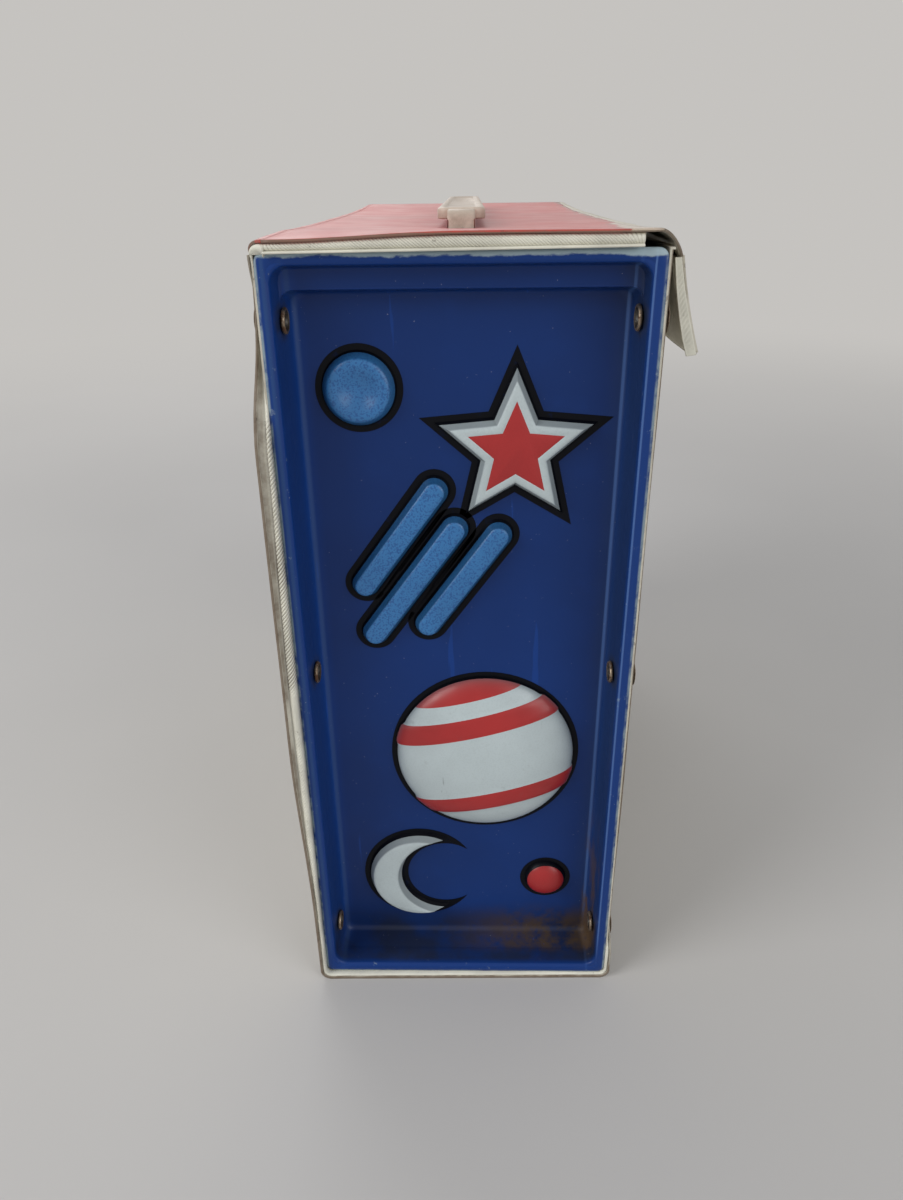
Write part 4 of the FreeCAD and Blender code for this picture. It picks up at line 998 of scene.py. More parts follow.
def end_shift(place):
    """How far a place on the outer vinyl strays near the worn end."""
    aside = 0.0
    if place.z < 1 * MM:
        setback = worn_end(BACK_TOP + OUTER + place.x)[1]
    else:
        outward, setback = worn_end(BACK_TOP - place.z if place.x < 0 else BACK_TOP + 2 * OUTER + place.z)
        aside = math.copysign(outward, place.x * outward)
    return Vector((aside * near_end(place.y, BOW_EASE), setback * near_end(place.y, SETBACK_EASE), 0))


def build_case_skin():
    """The outer vinyl: an open trough with rounded bottom folds and a slight unevenness."""
    bm = bmesh.new()
    plain_box(bm, CASE_LOW, CASE_HIGH)
    open_sides = [face for face in bm.faces if abs(face.normal.y) > 0.5 or face.normal.z > 0.5]
    bmesh.ops.delete(bm, geom=open_sides, context="FACES")
    folds = [edge for edge in bm.edges if all(vert.co.z < MM for vert in edge.verts) and span(edge, 1) > MM]
    bevelled(bm, folds, BOTTOM_FOLD, 8)
    for vert in bm.verts:
        if vert.co.x < 0 and vert.co.z > BACK_TOP:
            vert.co.z = BACK_TOP
    for axis, least, cuts in ((1, MM, 110), (2, 100 * MM, 56), (0, 50 * MM, 20)):
        edges = [edge for edge in bm.edges if span(edge, axis) > least]
        bmesh.ops.subdivide_edges(bm, edges=edges, cuts=cuts, use_grid_fill=True)
    keep_place(bm)
    sag, flat = sizes().sag, 6 * MM
    for vert in bm.verts:
        shift = end_shift(vert.co)
        if vert.co.z > flat:
            side = math.copysign(1, vert.co.x)
            top = BACK_TOP if side < 0 else CASE_HIGH.z
            ease = min(1, (vert.co.z - flat) / (25 * MM), (top - vert.co.z) / (12 * MM))
            swell = (1 - (vert.co.y / END) ** 4) * 0.5
            shift.x += side * sag * max(0, ease) * (swell + 0.8 * stray(vert.co, 3 + side, 48))
        vert.co += shift
    face_outwards(bm, lambda place: Vector((place.x, 0, 0)))
    make_piece(bm, "case_vinyl", "case", ("case_vinyl",), ("case_skin",), thickness=SKIN)


def build_wall_boards():
    """The boards of the front and back walls, short of the worn ends."""
    for side in ("front", "back"):
        low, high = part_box(f"{side}_board")
        low.y += BOARD_SETBACK
        bm = bmesh.new()
        rounded_box(bm, low, high, 0.2 * MM)
        make_piece(bm, f"{side}_card", "case", ("card",), (f"{side}_board",))


class LUNCHBOX_OT_case(bpy.types.Operator):
    """Wrap the case in its vinyl and finish the boards and the lining"""

    bl_idname = "lunchbox.case"
    bl_label = "Case Walls"

    def execute(self, context):
        build_case_skin()
        build_wall_boards()
        dress("bottom_board", "card")
        dress("case_lining", "lining_vinyl")
        return {"FINISHED"}


def lid_dip(across, along):
    """How far the lid's top has sunk between its ends and at the near end of its hinge."""
    share = min(1.0, abs(along) / (END - 4 * MM))
    corner = falling(across, -47 * MM, 0.0) * near_end(along, DIP_EASE)
    return max(LID_SAG * (1 - share ** 3), CORNER_DIP * corner)


def build_lid_sheet(name, node_name, height, thickness, finish_name):
    """A sheet of the lid with slots for the handle's legs.

    height gives the sheet's height for a place and its distance to the nearest side.
    """
    low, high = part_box(node_name)
    bm = sheet_grid(low, high, (40, 96))
    leg_y = abs(sum(corner.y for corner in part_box("near_slot_plate")) / 2)
    half_width, half_depth = 4.2 * MM, 1.6 * MM
    for side in (-1, 1):
        cuts = [((side * half_width, 0, 0), (1, 0, 0)),
                ((0, -leg_y + side * half_depth, 0), (0, 1, 0)),
                ((0, leg_y + side * half_depth, 0), (0, 1, 0))]
        for place, normal in cuts:
            geom = list(bm.verts) + list(bm.edges) + list(bm.faces)
            bmesh.ops.bisect_plane(bm, geom=geom, dist=1e-6, plane_co=place, plane_no=normal)
    holes = [face for face in bm.faces if abs(face.calc_center_median().x) < half_width
             and abs(abs(face.calc_center_median().y) - leg_y) < half_depth]
    bmesh.ops.delete(bm, geom=holes, context="FACES")
    for vert in bm.verts:
        vert.co.z = height(vert.co, max(0.0, min(vert.co.x - low.x, high.x - vert.co.x)))
    face_outwards(bm, lambda place: Vector((0, 0, 1)))
    make_piece(bm, name, "lid", (finish_name,), (node_name,), thickness=thickness)


def bent_sheet(name, centre, radius, turn, finish_name, node_name, bodies, slack=0.0,
               tuck=(0.0, 0.0)):
    """The bare vinyl of a fold: a grid wrapped round the fold's axis, bending between two bodies.

    At the near end, slack is how far the fold has sunk and tuck how far its two sides are set back.
    """
    def ray(angle):
        return Vector((math.cos(angle), 0, math.sin(angle)))

    bm = sheet_grid((0, -END), (1, END), (16, 96))
    rest = keep_place(bm)
    for vert in bm.verts:
        share, along = vert.co.x, vert.co.y
        angle = turn[0] + (turn[1] - turn[0]) * share
        belly = math.sin(math.pi * share)
        ripple = RIPPLE * stray(Vector((share * 20 * MM, along, 0)), 21, 14) * belly
        sunk = slack * belly * near_end(along, HANG_EASE)
        if tuck[0]:
            pinched, lidward = PINCH * (1 - share) * near_end(along, BOW_EASE), share
        else:
            pinched, lidward = FLAP_HUG * share * near_end(along, HANG_EASE), 1 - share
        setback = (tuck[0] * (1 - share) + tuck[1] * share) * near_end(along, SETBACK_EASE)
        vert[rest] = centre + radius * ray(angle) + Vector((0, along, 0))
        vert.co = centre + (radius + ripple - sunk - pinched) * ray(angle)
        vert.co += Vector((0, along + setback, -lidward * lid_dip(centre.x, along)))
    face_outwards(bm, lambda place: place - centre)
    obj = make_piece(bm, name, None, (finish_name,), (node_name,), thickness=SKIN)
    ends = [centre + radius * ray(angle) for angle in turn]
    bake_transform(obj, *bodies, start=ends[0], end=ends[1])


class LUNCHBOX_OT_lid(bpy.types.Operator):
    """Cover the lid in red vinyl and lay the folds along its back and front edges"""

    bl_idname = "lunchbox.lid"
    bl_label = "Lid"

    def execute(self, context):
        sag, (low, high) = sizes().sag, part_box("lid_board")
        card = high.z - low.z - LID_SAG - 1.2 * sag

        def cover(place, edge):
            wave = min(1, edge / (12 * MM)) * (0.7 * stray(place, 11, 42) - 0.35)
            return LID_HIGH.z + sag * wave - lid_dip(place.x, place.y)

        def stiffener(place, edge):
            return high.z - 1.1 * sag - lid_dip(place.x, place.y)

        def inside(place, edge):
            return low.z if edge > 0.1 * MM else high.z - 0.1 * MM - lid_dip(place.x, place.y)

        build_lid_sheet("lid_vinyl", "lid_skin", cover, SKIN, "lid_vinyl")
        build_lid_sheet("lid_card", "lid_board", stiffener, card, "card")
        build_lid_sheet("lid_inside", "lid_lining", inside, LINING, "lining_vinyl")
        bent_sheet("hinge_vinyl", HINGE, HINGE_RADIUS, (math.pi, math.pi / 2), "hinge_vinyl",
                   "lid_hinge_web", ("case", "lid"), tuck=(SETBACK, 0.0))
        bent_sheet("flap_fold_vinyl", FOLD, FOLD_RADIUS, (math.pi / 2, FLAP_SPLAY),
                   "fold_vinyl", "flap_fold_web", ("lid", "flap"), 1.0 * MM, (0.0, FLAP_SETBACK))
        return {"FINISHED"}


def flap_stray(share, along):
    """How far the flap stands out and hangs down at a share of its length, most of all at its near end."""
    near = near_end(along, HANG_EASE)
    curl = sizes().sag * share * (stray(Vector((share * FLAP_LENGTH, along, 0)), 31, 40) + 0.2)
    fray = FLAP_FRAY * share * (stray(Vector((0, along, 0)), 33, 18) - 0.4)
    aside = FLAP_CURL * share * share - FLAP_HUG * (1 - share)
    return curl + near * aside, fray + near * FLAP_HANG * share


def flap_end(share, along):
    """How far the welt on the flap's near end strays, lapping over the edge of the vinyl."""
    aside, hang = flap_stray(share, along)
    return aside + 0.45 * MM, hang


def snap_hole(bm):
    """Open a round hole for the press stud in a layer of the flap."""
    centre = Vector((SNAP_DROP, 0, 0))
    inside = [face for face in bm.faces if (face.calc_center_median() - centre).length < SNAP_HOLE]
    bmesh.ops.delete(bm, geom=inside, context="FACES")
    for vert in bm.verts:
        away = vert.co - centre
        if vert.is_boundary and away.length < 1.5 * SNAP_HOLE:
            vert.co = centre + away.normalized() * SNAP_HOLE


def build_flap_sheet(name, depth, thickness, end, finish_name, node_name):
    """One layer of the flap, a depth below its face, frayed along its foot and short at its near end."""
    bm = sheet_grid((0, -end), (FLAP_LENGTH, end), (24, 200))
    if depth:
        snap_hole(bm)
    rest = keep_place(bm)
    for vert in bm.verts:
        down, along = vert.co.x, vert.co.y
        aside, hang = flap_stray(down / FLAP_LENGTH, along)
        short = (FLAP_SETBACK + 0.8 * MM) * near_end(along, SETBACK_EASE, end)
        vert[rest] = FLAP_FRAME @ Vector((FOLD_RADIUS - depth, along, -down))
        vert.co = (FOLD_RADIUS + aside - depth, along + short, -down - hang)
    bmesh.ops.transform(bm, matrix=FLAP_FRAME, verts=bm.verts)
    face_outwards(bm, lambda place: Vector((1, 0, 0)))
    make_piece(bm, name, "flap", (finish_name,), (node_name,), thickness=thickness)


class LUNCHBOX_OT_flap(bpy.types.Operator):
    """Lay the vinyl, the board and the lining of the snap flap"""

    bl_idname = "lunchbox.flap"
    bl_label = "Flap"

    def execute(self, context):
        card, gap = 0.7 * MM, 0.02 * MM
        build_flap_sheet("flap_vinyl", 0.0, SKIN, END, "flap_vinyl", "flap_skin")
        build_flap_sheet("flap_card", SKIN + gap, card - 2 * gap, RIM, "card", "flap_board")
        build_flap_sheet("flap_inside", SKIN + card, FLAP_THICKNESS - SKIN - card, RIM,
                         "flap_lining", "flap_lining")
        return {"FINISHED"}


# Welts

class Course:
    """A line of straight runs and arcs in the XZ plane, measured along its length.

    swell says how round its strip is, and bow how far the strip strays at the near end.
    """

    def __init__(self, swell=0.65, bow=None):
        self.runs = []
        self.total = 0.0
        self.swell = swell
        self.bow = bow

    def line(self, first, last):
        """Go on straight from one point to another."""
        first, last = Vector(first), Vector(last)
        span = (last - first).length
        heading = (last - first) / span
        aside = Vector((heading.y, -heading.x))
        self.runs.append((self.total, span, lambda s: (first + heading * s, aside)))
        self.total += span
        return self

    def arc(self, centre, radius, start, stop):
        """Go on round a centre from one angle to another."""
        centre = Vector(centre)
        span = abs(stop - start) * radius
        way = math.copysign(1, stop - start)

        def at(s):
            angle = start + way * s / radius
            ray = Vector((math.cos(angle), math.sin(angle)))
            return centre + ray * radius, ray * way

        self.runs.append((self.total, span, at))
        self.total += span
        return self

    def at(self, s):
        """The place at a distance along the line, and the direction to its right-hand side."""
        for begin, span, run in self.runs:
            if s <= begin + span + 1e-9:
                return run(s - begin)
        return run(span)


def ribbed_strip(course, width, base, crown, worn, fine, bow):
    """A ribbed, half-round strip that follows a course, with a plain band along its outer side.

    worn maps a distance along the course to how smooth the strip is there, how wide its rope and its band
    are, how soiled the band is and how far the strip is set back.
    """
    rows, rope_rows, steps_per_rib = 11, 8, 6
    lean_ease, lap, root = 5 * MM, 0.25 * MM, 1.5 * MM
    pitch, rib = sizes().rib_pitch * fine, sizes().rib_height * fine
    steps = max(12, round(course.total / pitch * steps_per_rib))
    bm = sheet_grid((0, 0), (course.total, 1), (steps, rows))
    groove = bm.verts.layers.float.new("groove")
    soiled = bm.verts.layers.float.new("soiled")
    edge = rope_rows / rows
    for vert in bm.verts:
        s, across = vert.co.x, vert.co.y
        smooth, rope, band, soil, setback = worn(s)
        share = across / edge
        reach = min(share, 1.0) * rope
        wave = math.cos(2 * math.pi * s / pitch)
        lean = 1.25 * min(1.0, s / lean_ease, (course.total - s) / lean_ease)
        spot, aside = course.at(max(0.0, min(course.total, s + lean * (reach - rope / 2))))
        wobble = RIPPLE * stray(Vector((s, across * width, 0)), 41, 9)
        if share <= 1 + 1e-6:
            round_off = math.sqrt(max(0.0, 1 - (1.9 * (share - 0.5)) ** 2))
            ribs = (1 - smooth) * rib * 0.5 * (wave - 1) * round_off
            vert[groove] = (1 - smooth) * max(0.5 - 0.5 * wave, rising(share, 0.86, 1.0))
        else:
            share = (across - edge) / (1 - edge)
            round_off = 0.45 + 0.5 * share
            reach = rope + share * (band + lap)
            ribs = 0.0
            vert[groove] = (1 - smooth) * falling(share, 0.05, 0.45)
            vert[soiled] = soil
        out = base + crown * (1 - course.swell * (1 - round_off)) + ribs + wobble - setback
        if across < 1e-6 and bow != flap_end:
            out -= root
        place = spot + aside * (reach - width / 2)
        if bow:
            sideways, hang = bow(s / course.total, -END)
            place += Vector((sideways, -hang))
        vert.co = (place.x, -out, place.y)
    return bm


def build_welt(label, course, width, body, replaces, matrix, worn, bend=None, fine=1.0):
    """One welt at each end of the case; only the near one is worn."""
    base, crown, thickness = RIM + 0.2 * MM, END - RIM - 0.45 * MM, 0.5 * MM

    def sound(s):
        return 0.1, width, 0.0, 0.0, 0.0

    for end, sign, wear, bow in (("near", 1, worn, course.bow), ("far", -1, sound, None)):
        bm = ribbed_strip(course, width, base, crown, wear, fine, bow)
        bmesh.ops.transform(bm, matrix=matrix, verts=bm.verts)
        bmesh.ops.scale(bm, vec=(1, sign, 1), verts=bm.verts)
        face_outwards(bm, lambda place: Vector((0, place.y, 0)))
        finish_name = "welt"
        if bend:
            keep_place(bm)
            finish_name = "fold_welt"
        names = [f"{end}_{replaces}"] if replaces else []
        obj = make_piece(bm, f"{end}_{label}", None if bend else body, (finish_name,), names,
                         crease=180, thickness=thickness)
        if bend:
            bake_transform(obj, *bend[0], start=bend[1], end=bend[2])


def bump(s, low, high, ease):
    """1 between two distances along a course, easing to 0 beyond them."""
    return rising(s, low - ease, low) * falling(s, high, high + ease)


class LUNCHBOX_OT_welts(bpy.types.Operator):
    """Seal the vinyl's ends with ribbed welts"""

    bl_idname = "lunchbox.welts"
    bl_label = "Welts"

    def execute(self, context):
        self.case_edge()
        self.lid_edge()
        self.flap_edge()
        self.hinge_edge()
        return {"FINISHED"}

    def case_edge(self):
        """Down the back wall, along the bottom and up the front wall."""
        wall = OUTER - SKIN - INNER
        middle, foot = INNER + wall / 2, SKIN + wall / 2
        bend = BOTTOM_FOLD - SKIN - wall / 2
        turn_x, turn_z = middle - bend, foot + bend
        course = Course().line((-middle, BACK_TOP), (-middle, turn_z))
        course.arc((-turn_x, turn_z), bend, math.pi, 1.5 * math.pi).line((-turn_x, foot), (turn_x, foot))
        course.arc((turn_x, turn_z), bend, 1.5 * math.pi, 2 * math.pi)
        course.line((middle, turn_z), (middle, CASE_HIGH.z))

        def worn(s):
            ribbed = bump(s, 44 * MM, 118 * MM, 8 * MM) + 0.4 * bump(s, 141 * MM, 226 * MM, 8 * MM)
            bruised = bump(s, 128 * MM, 138 * MM, 6 * MM)
            outward, setback = worn_end(s)
            full = wall + outward
            rope = min(full, (1.1 + 1.3 * rising(s, 39 * MM, 117 * MM)) * MM)
            filled = 0.45 + 0.55 * rising(s, 0.0, 10 * MM)
            return 1 - ribbed, rope, full - rope, 0.9 - 0.6 * bruised, setback * filled

        build_welt("case_edge", course, wall, "case", "case_welt", Matrix.Identity(4), worn)

    def lid_edge(self):
        """Along the end of the lid, sunk with it."""
        low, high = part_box("near_lid_welt")
        middle, thick = (low.z + high.z) / 2, high.z - low.z

        def sunk(share, along):
            return 0.0, lid_dip(low.x + share * (high.x - low.x), along)

        def even(s):
            share = s / course.total
            return 0.3, thick * (1 - 0.22 * share) - sunk(share, -END)[1], 0.0, 0.0, 0.0

        course = Course(bow=sunk).line((low.x, middle), (high.x, middle))
        build_welt("lid_edge", course, thick, "lid", "lid_welt", Matrix.Identity(4), even, fine=0.72)

    def flap_edge(self):
        """Down the end of the flap, fanning out towards its foot."""
        thick = FLAP_THICKNESS - SKIN
        middle = FOLD_RADIUS - SKIN - thick / 2

        def frayed(s):
            fan = 0.9 * MM * s / course.total
            return 0.8, thick + 0.2 * MM + fan, 0.0, 0.0, FLAP_SETBACK - 0.3 * MM

        course = Course(0.03, flap_end).line((middle, 0), (middle, -FLAP_LENGTH))
        build_welt("flap_edge", course, thick, "flap", "flap_welt", FLAP_FRAME, frayed)

    def hinge_edge(self):
        """Round the end of the hinge's fold, between the case and the lid."""
        thick = 4.1 * MM
        reach = HINGE_RADIUS - SKIN - thick / 2
        turn = (math.pi, math.pi / 2)
        ends = [HINGE + reach * Vector((math.cos(angle), 0, math.sin(angle))) for angle in turn]

        def sunk(share, along):
            return 0.0, share * lid_dip(HINGE.x, along)

        def tucked(s):
            share = s / course.total
            return 1.0, thick - CORNER_DIP * share, 0.0, 0.4, 0.45 * SETBACK * (1 - share)

        course = Course(bow=sunk).arc((HINGE.x, HINGE.z), reach, *turn)
        build_welt("hinge_edge", course, thick, None, None, Matrix.Identity(4), tucked,
                   (("case", "lid"), ends[0], ends[1]))


# Metal and moulded pieces

def outward(x, y, z, side):
    """Places a turned piece so that its own Z points along +X or -X."""
    return Matrix.Translation((x, y, z)) @ Matrix.Rotation(side * math.pi / 2, 4, "Y")


class LUNCHBOX_OT_rivets(bpy.types.Operator):
    """Turn the semi-tubular rivets that hold the trays"""

    bl_idname = "lunchbox.rivets"
    bl_label = "Rivets"

    def execute(self, context):
        head, head_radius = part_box("near_tray_rivets")[1].x - OUTER, 4.2 * MM
        mouth, bore = 3.4 * MM, 2.62 * MM
        domed = [(0, 1), (0.3, 0.98), (0.58, 0.86), (0.82, 0.56), (0.96, 0.24), (1, 0.02), (0.98, -0.05)]
        profile = [(share * head_radius, head * rise) for share, rise in domed]
        profile.append((1.5 * MM, -0.05 * MM))
        seat = INNER - TRAY_RIM - (RIVET_INSET - mouth) * math.tan(TRAY_DRAFT) - 0.9 * MM - OUTER
        rolled = [(1.5, 0.1), (3.25, 0.05), (3.42, -0.2), (3.38, -0.5), (3.2, -0.78), (2.95, -0.9),
                  (2.7, -0.8), (2.45, -0.4), (2.1, 0.1), (1.7, 0.7), (1.3, 1.2), (0, 1.3)]
        profile += [(radius * MM, seat + height * MM) for radius, height in rolled]
        for end, sign in (("near", -1), ("far", 1)):
            bm = bmesh.new()
            for side in (-1, 1):
                for height in RIVET_HEIGHTS:
                    spot = Vector((side * OUTER, sign * (RIM - RIVET_INSET), height))
                    for face in turned(bm, profile, 28, outward(*spot, side)):
                        off = face.calc_center_median() - spot
                        bored = abs(off.x) > abs(seat) / 2 and math.hypot(off.y, off.z) < bore
                        face.material_index = int(bored)
            make_piece(bm, f"{end}_rivets", "case", ("rivet_steel", "rivet_bore"),
                       (f"{end}_tray_rivets",), crease=50)
        return {"FINISHED"}


class LUNCHBOX_OT_handle(bpy.types.Operator):
    """Mould the strap handle and finish its fittings"""

    bl_idname = "lunchbox.handle"
    bl_label = "Handle"

    def execute(self, context):
        low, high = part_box("carry_handle")
        leg_y = abs(sum(corner.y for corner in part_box("near_handle_keeper")) / 2)
        grip_low, grip_half = high.z - 3 * MM, leg_y - 6 * MM
        wall, roof = 1.8 * MM, 1.6 * MM
        bm = bmesh.new()
        plain_box(bm, Vector((-high.x, -grip_half, grip_low)), Vector((high.x, grip_half, high.z)))
        bevelled(bm, [edge for edge in bm.edges if span(edge, 2) > MM], 3 * MM, 8)
        under = min(bm.faces, key=lambda face: face.calc_center_median().z)
        self.step_in(bm, under, wall, 0)
        self.step_in(bm, under, 0.1 * MM, -(high.z - grip_low - roof))
        rims = [edge for edge in bm.edges if all(vert.co.z > high.z - 1e-6 for vert in edge.verts)]
        bevelled(bm, rims, 0.8 * MM, 4)
        upper = max(bm.faces, key=lambda face: face.calc_center_median().z + face.calc_area())
        self.step_in(bm, upper, 1.3 * MM, 0)
        self.step_in(bm, upper, 0.5 * MM, -0.45 * MM)
        lips = [edge for edge in bm.edges if all(vert.co.z < grip_low + 1e-6 for vert in edge.verts)
                and len(edge.link_faces) == 2
                and edge.link_faces[0].normal.angle(edge.link_faces[1].normal) > 0.5]
        bevelled(bm, lips, 0.35 * MM, 2)
        for sign in (-1, 1):
            self.strap(bm, sign, leg_y, grip_half, grip_low, low.z)
        bmesh.ops.recalc_face_normals(bm, faces=bm.faces)
        make_piece(bm, "strap_handle", "handle", ("handle_plastic",), ("carry_handle",),
                   crease=50)
        for label in ("near_handle_keeper", "far_handle_keeper", "near_slot_plate", "far_slot_plate"):
            dress(label, "keeper_steel")
        return {"FINISHED"}

    def step_in(self, bm, face, width, depth):
        """Set a face in by a width and out by a depth."""
        bmesh.ops.inset_region(bm, faces=[face], thickness=width, depth=depth, use_even_offset=True)

    def strap(self, bm, sign, leg_y, grip_half, grip_low, foot):
        """One end of the strap: a flat run, a bend down and a leg with a foot."""
        thick, width = 2.4 * MM, 7.6 * MM
        centre = grip_low + 0.2 * MM + thick / 2
        bend = thick / 2 + 0.35 * MM
        root, flat_end = sign * (grip_half - 0.9 * MM), sign * (leg_y - bend)
        verts = bmesh.ops.create_grid(bm, x_segments=1, y_segments=1, size=0.5)["verts"]
        start = verts[0].link_faces[0]
        bmesh.ops.scale(bm, vec=(width, thick, 1), verts=verts)
        bmesh.ops.transform(bm, matrix=Matrix.Rotation(math.pi / 2, 4, "X"), verts=verts)
        bmesh.ops.translate(bm, vec=(0, root, centre), verts=verts)
        head = self.drawn_out(bm, [start], (0, flat_end - root, 0))
        turn = bmesh.ops.spin(bm, geom=head, cent=(0, flat_end, centre - bend), axis=(sign, 0, 0),
                              dvec=(0, 0, 0), angle=-math.pi / 2, steps=8)
        tip = [item for item in turn["geom_last"] if isinstance(item, bmesh.types.BMFace)]
        last = self.drawn_out(bm, tip, (0, 0, foot - (centre - bend)))
        island = linked(last[0].verts[0])
        bmesh.ops.recalc_face_normals(bm, faces=faces_of(island))
        edges = once(edge for vert in island for edge in vert.link_edges if len(edge.link_faces) == 2)
        bevelled(bm, [edge for edge in edges if edge.calc_face_angle() > 1], 0.45 * MM, 2)
        sole = Vector((4.5 * MM, 1.9 * MM, 0.6 * MM))
        middle = Vector((0, sign * leg_y, foot + sole.z))
        rounded_box(bm, middle - sole, middle + sole, 0.3 * MM)

    def drawn_out(self, bm, faces, course):
        """Extrude faces along a course; returns the faces at the far end."""
        made = bmesh.ops.extrude_face_region(bm, geom=faces)
        moved = [item for item in made["geom"] if isinstance(item, bmesh.types.BMVert)]
        bmesh.ops.translate(bm, vec=course, verts=moved)
        return [item for item in made["geom"] if isinstance(item, bmesh.types.BMFace)]


class LUNCHBOX_OT_press_stud(bpy.types.Operator):
    """Turn the cap, socket, stud and post of the press stud"""

    bl_idname = "lunchbox.press_stud"
    bl_label = "Press Stud"

    def execute(self, context):
        on_flap = FLAP_FRAME @ outward(FOLD_RADIUS, 0, -SNAP_DROP, 1)
        stud_low, stud_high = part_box("snap_stud")
        on_wall = outward(OUTER, 0, (stud_low.z + stud_high.z) / 2, 1)
        back = WALL / MM
        pieces = {
            "snap_cap": ("flap", on_flap, [
                (0, 2.05), (1.2, 2.08), (2.6, 2.18), (3.6, 2.2), (4.6, 2.02), (5.5, 1.62), (6.1, 1.1),
                (6.45, 0.62), (6.5, 0.35), (6.35, 0.1), (6.0, 0.03), (1.45, 0.03), (1.45, -1.0),
                (0, -1.0)]),
            "snap_socket": ("flap", on_flap, [
                (1.5, -0.72), (4.8, -0.72), (5.0, -0.85), (5.0, -1.75), (4.85, -1.87), (4.4, -1.9),
                (3.3, -1.85), (2.75, -1.8), (2.5, -1.7), (2.45, -1.5), (2.55, -1.0), (1.5, -1.0),
                (1.5, -0.72)]),
            "snap_stud": ("case", on_wall, [
                (0, 1.5), (0.9, 1.49), (1.5, 1.38), (1.85, 1.15), (1.9, 1.05), (1.7, 0.85), (1.5, 0.75),
                (1.46, 0.62), (1.6, 0.5), (2.2, 0.44), (3.6, 0.5), (4.3, 0.45), (4.5, 0.2), (4.4, 0.02),
                (1.5, 0.02), (1.5, -back - 0.75), (0, -back - 0.78)]),
            "snap_post": ("case", on_wall, [
                (1.55, -back - 0.02), (4.8, -back - 0.02), (5.0, -back - 0.15), (4.95, -back - 0.35),
                (4.3, -back - 0.65), (3.4, -back - 0.72), (2.4, -back - 0.8), (1.55, -back - 0.8),
                (1.55, -back - 0.02)]),
        }
        for label, (body, matrix, profile) in pieces.items():
            bm = bmesh.new()
            turned(bm, [(radius * MM, height * MM) for radius, height in profile], 48, matrix)
            make_piece(bm, f"{label}_metal", body, ("snap_nickel",), (label,), crease=45)
        return {"FINISHED"}


# Stage

FLOOR_HALF = 30
MIDDLE = Vector((0, 0, 0.13))
CAMERA_PLACE = (0.002, -0.349, 0.2600)
CAMERA_PITCH, CAMERA_YAW, CAMERA_ROLL = (math.radians(angle) for angle in (26.07, -1.34, -0.75))


def add_light(name, place, size, power):
    """A round lamp that faces the case."""
    data = bpy.data.lights.new(name, "AREA")
    data.shape = "DISK"
    data.size = size
    data.energy = power
    lamp = bpy.data.objects.new(name, data)
    lamp.location = place
    lamp.rotation_euler = (MIDDLE - Vector(place)).to_track_quat("-Z", "Y").to_euler()
    bpy.context.scene.collection.objects.link(lamp)


def stage_paint(name, colour, backdrop):
    """Pale cloth-like floor that fades into the backdrop away from the object."""
    paint = Paint(name, Specular_IOR_Level=0.2)
    x, y = paint.axes()[:2]
    paint.ground(colour, 0.975, 1.02, paint.clouds(320).rise(0.3, 0.7))
    material = paint.done(paint.clouds(40, 2).rise(0.2, 0.8) * 0.05 + 0.82)
    away = paint.math("SQRT", x * x + y * y).rise(0.35, 1.5)
    rays = paint.add("ShaderNodeLightPath").outputs
    seen = Field(paint, rays["Is Camera Ray"])
    for kind in ("Is Glossy Ray", "Is Transmission Ray"):
        seen = paint.math("MAXIMUM", seen, Field(paint, rays[kind]))
    glow = paint.add("ShaderNodeEmission", {"Color": backdrop, "Strength": 1.0})
    shaders = {0: away * seen, 1: paint.shader.outputs[0], 2: glow.outputs[0]}
    blend = paint.add("ShaderNodeMixShader", shaders)
    paint.feed(paint.tree.nodes["Material Output"].inputs["Surface"], blend.outputs[0])
    return material


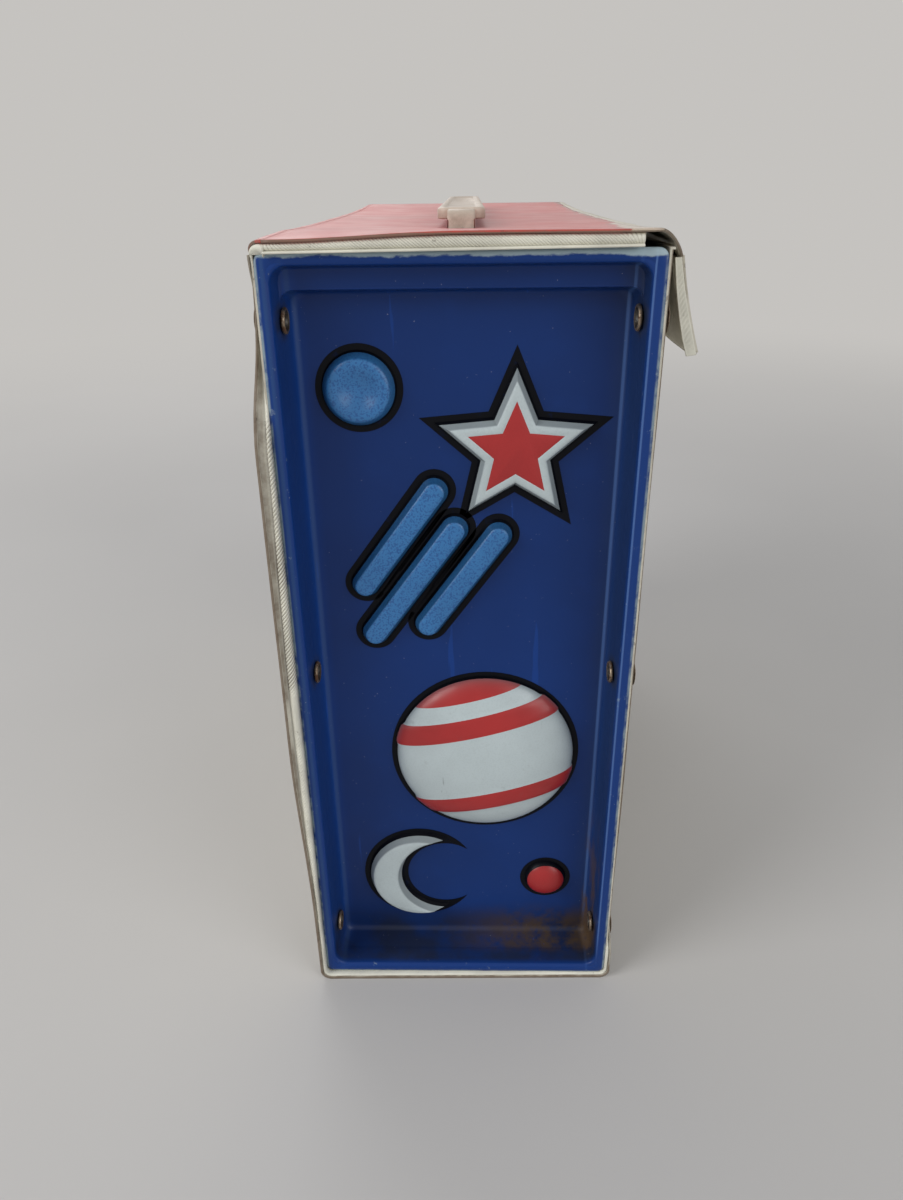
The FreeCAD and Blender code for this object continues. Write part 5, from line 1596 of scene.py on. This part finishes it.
class LUNCHBOX_OT_stage(bpy.types.Operator):
    """Set out the floor, the lights and the camera"""

    bl_idname = "lunchbox.stage"
    bl_label = "Stage"

    def execute(self, context):
        scene = context.scene
        setup = scene.lunch_box_stage
        bm = sheet_grid((-FLOOR_HALF, -FLOOR_HALF), (FLOOR_HALF, FLOOR_HALF), (1, 1))
        mesh = bpy.data.meshes.new("floor")
        bm.to_mesh(mesh)
        bm.free()
        mesh.materials.append(stage_paint("floor_cloth", tuple(setup.floor), tuple(setup.backdrop)))
        floor = bpy.data.objects.new("floor", mesh)
        scene.collection.objects.link(floor)
        self.light_world(scene, setup)
        add_light("key", (-1.25, -0.8, 0.95), 1.0, setup.key)
        add_light("fill", (1.1, -1.1, 0.7), 1.2, setup.fill)
        add_light("rear", (-0.5, 1.3, 1.1), 1.2, setup.rear)
        self.set_camera(scene, setup)
        scene.view_settings.view_transform = "Standard"
        return {"FINISHED"}

    def light_world(self, scene, setup):
        """Even light on the case, and the backdrop wherever the camera looks past it."""
        world = bpy.data.worlds.new("studio")
        scene.world = world
        world.use_nodes = True
        tree = world.node_tree
        tree.nodes.clear()
        output = tree.nodes.new("ShaderNodeOutputWorld")
        even = tree.nodes.new("ShaderNodeBackground")
        even.inputs["Color"].default_value = (0.95, 0.97, 1.0, 1)
        even.inputs["Strength"].default_value = setup.world
        seen = tree.nodes.new("ShaderNodeBackground")
        seen.inputs["Color"].default_value = (*setup.backdrop, 1)
        mix = tree.nodes.new("ShaderNodeMixShader")
        rays = tree.nodes.new("ShaderNodeLightPath")
        share = rays.outputs["Is Camera Ray"]
        for kind in ("Is Glossy Ray", "Is Transmission Ray"):
            either = tree.nodes.new("ShaderNodeMath")
            either.operation = "MAXIMUM"
            tree.links.new(share, either.inputs[0])
            tree.links.new(rays.outputs[kind], either.inputs[1])
            share = either.outputs[0]
        tree.links.new(share, mix.inputs[0])
        tree.links.new(even.outputs[0], mix.inputs[1])
        tree.links.new(seen.outputs[0], mix.inputs[2])
        tree.links.new(mix.outputs[0], output.inputs["Surface"])

    def set_camera(self, scene, setup):
        """A camera close to the near end, looking slightly down."""
        data = bpy.data.cameras.new("camera")
        data.sensor_fit = "VERTICAL"
        data.sensor_height = 36
        data.lens = setup.lens
        data.clip_start = 0.01
        camera = bpy.data.objects.new("camera", data)
        scene.collection.objects.link(camera)
        ahead = Vector((math.sin(CAMERA_YAW), math.cos(CAMERA_YAW), 0))
        forward = ahead * math.cos(CAMERA_PITCH) - Vector((0, 0, math.sin(CAMERA_PITCH)))
        right = Vector((ahead.y, -ahead.x, 0))
        up = right.cross(forward)
        leaning = right * math.cos(CAMERA_ROLL) + up * math.sin(CAMERA_ROLL)
        upright = leaning.cross(forward)
        basis = Matrix((leaning, upright, -forward)).transposed().to_4x4()
        camera.matrix_world = Matrix.Translation(CAMERA_PLACE) @ basis
        scene.camera = camera


class LUNCHBOX_PT_sidebar(bpy.types.Panel):
    """Lists the pieces and their settings"""

    bl_idname = "LUNCHBOX_PT_sidebar"
    bl_label = "Lunch Box"
    bl_space_type = "VIEW_3D"
    bl_region_type = "UI"
    bl_category = "Lunch Box"

    def draw(self, context):
        for operator in OPERATORS:
            self.layout.operator(operator.bl_idname)
        for name, group in GROUPS.items():
            box = self.layout.box()
            for label in group.__annotations__:
                box.prop(getattr(context.scene, name), label)


OPERATORS = (LUNCHBOX_OT_trays, LUNCHBOX_OT_case, LUNCHBOX_OT_lid, LUNCHBOX_OT_flap, LUNCHBOX_OT_welts,
             LUNCHBOX_OT_rivets, LUNCHBOX_OT_handle, LUNCHBOX_OT_press_stud, LUNCHBOX_OT_stage)
GROUPS = {"lunch_box_colours": LunchBoxColours, "lunch_box_sizes": LunchBoxSizes,
          "lunch_box_stage": LunchBoxStage}


def register():
    """Make the classes and the scene's settings known."""
    for item in (*GROUPS.values(), *OPERATORS, LUNCHBOX_PT_sidebar):
        bpy.utils.register_class(item)
    for label, group in GROUPS.items():
        setattr(bpy.types.Scene, label, PointerProperty(type=group))


def unregister():
    """Take the classes and the settings away again."""
    for label in GROUPS:
        delattr(bpy.types.Scene, label)
    for item in (LUNCHBOX_PT_sidebar, *reversed(OPERATORS), *reversed(GROUPS.values())):
        bpy.utils.unregister_class(item)


def main():
    """Build every piece and the stage."""
    register()
    for operator in OPERATORS:
        group, name = operator.bl_idname.split(".")
        getattr(getattr(bpy.ops, group), name)()


if __name__ == "__main__":
    main()
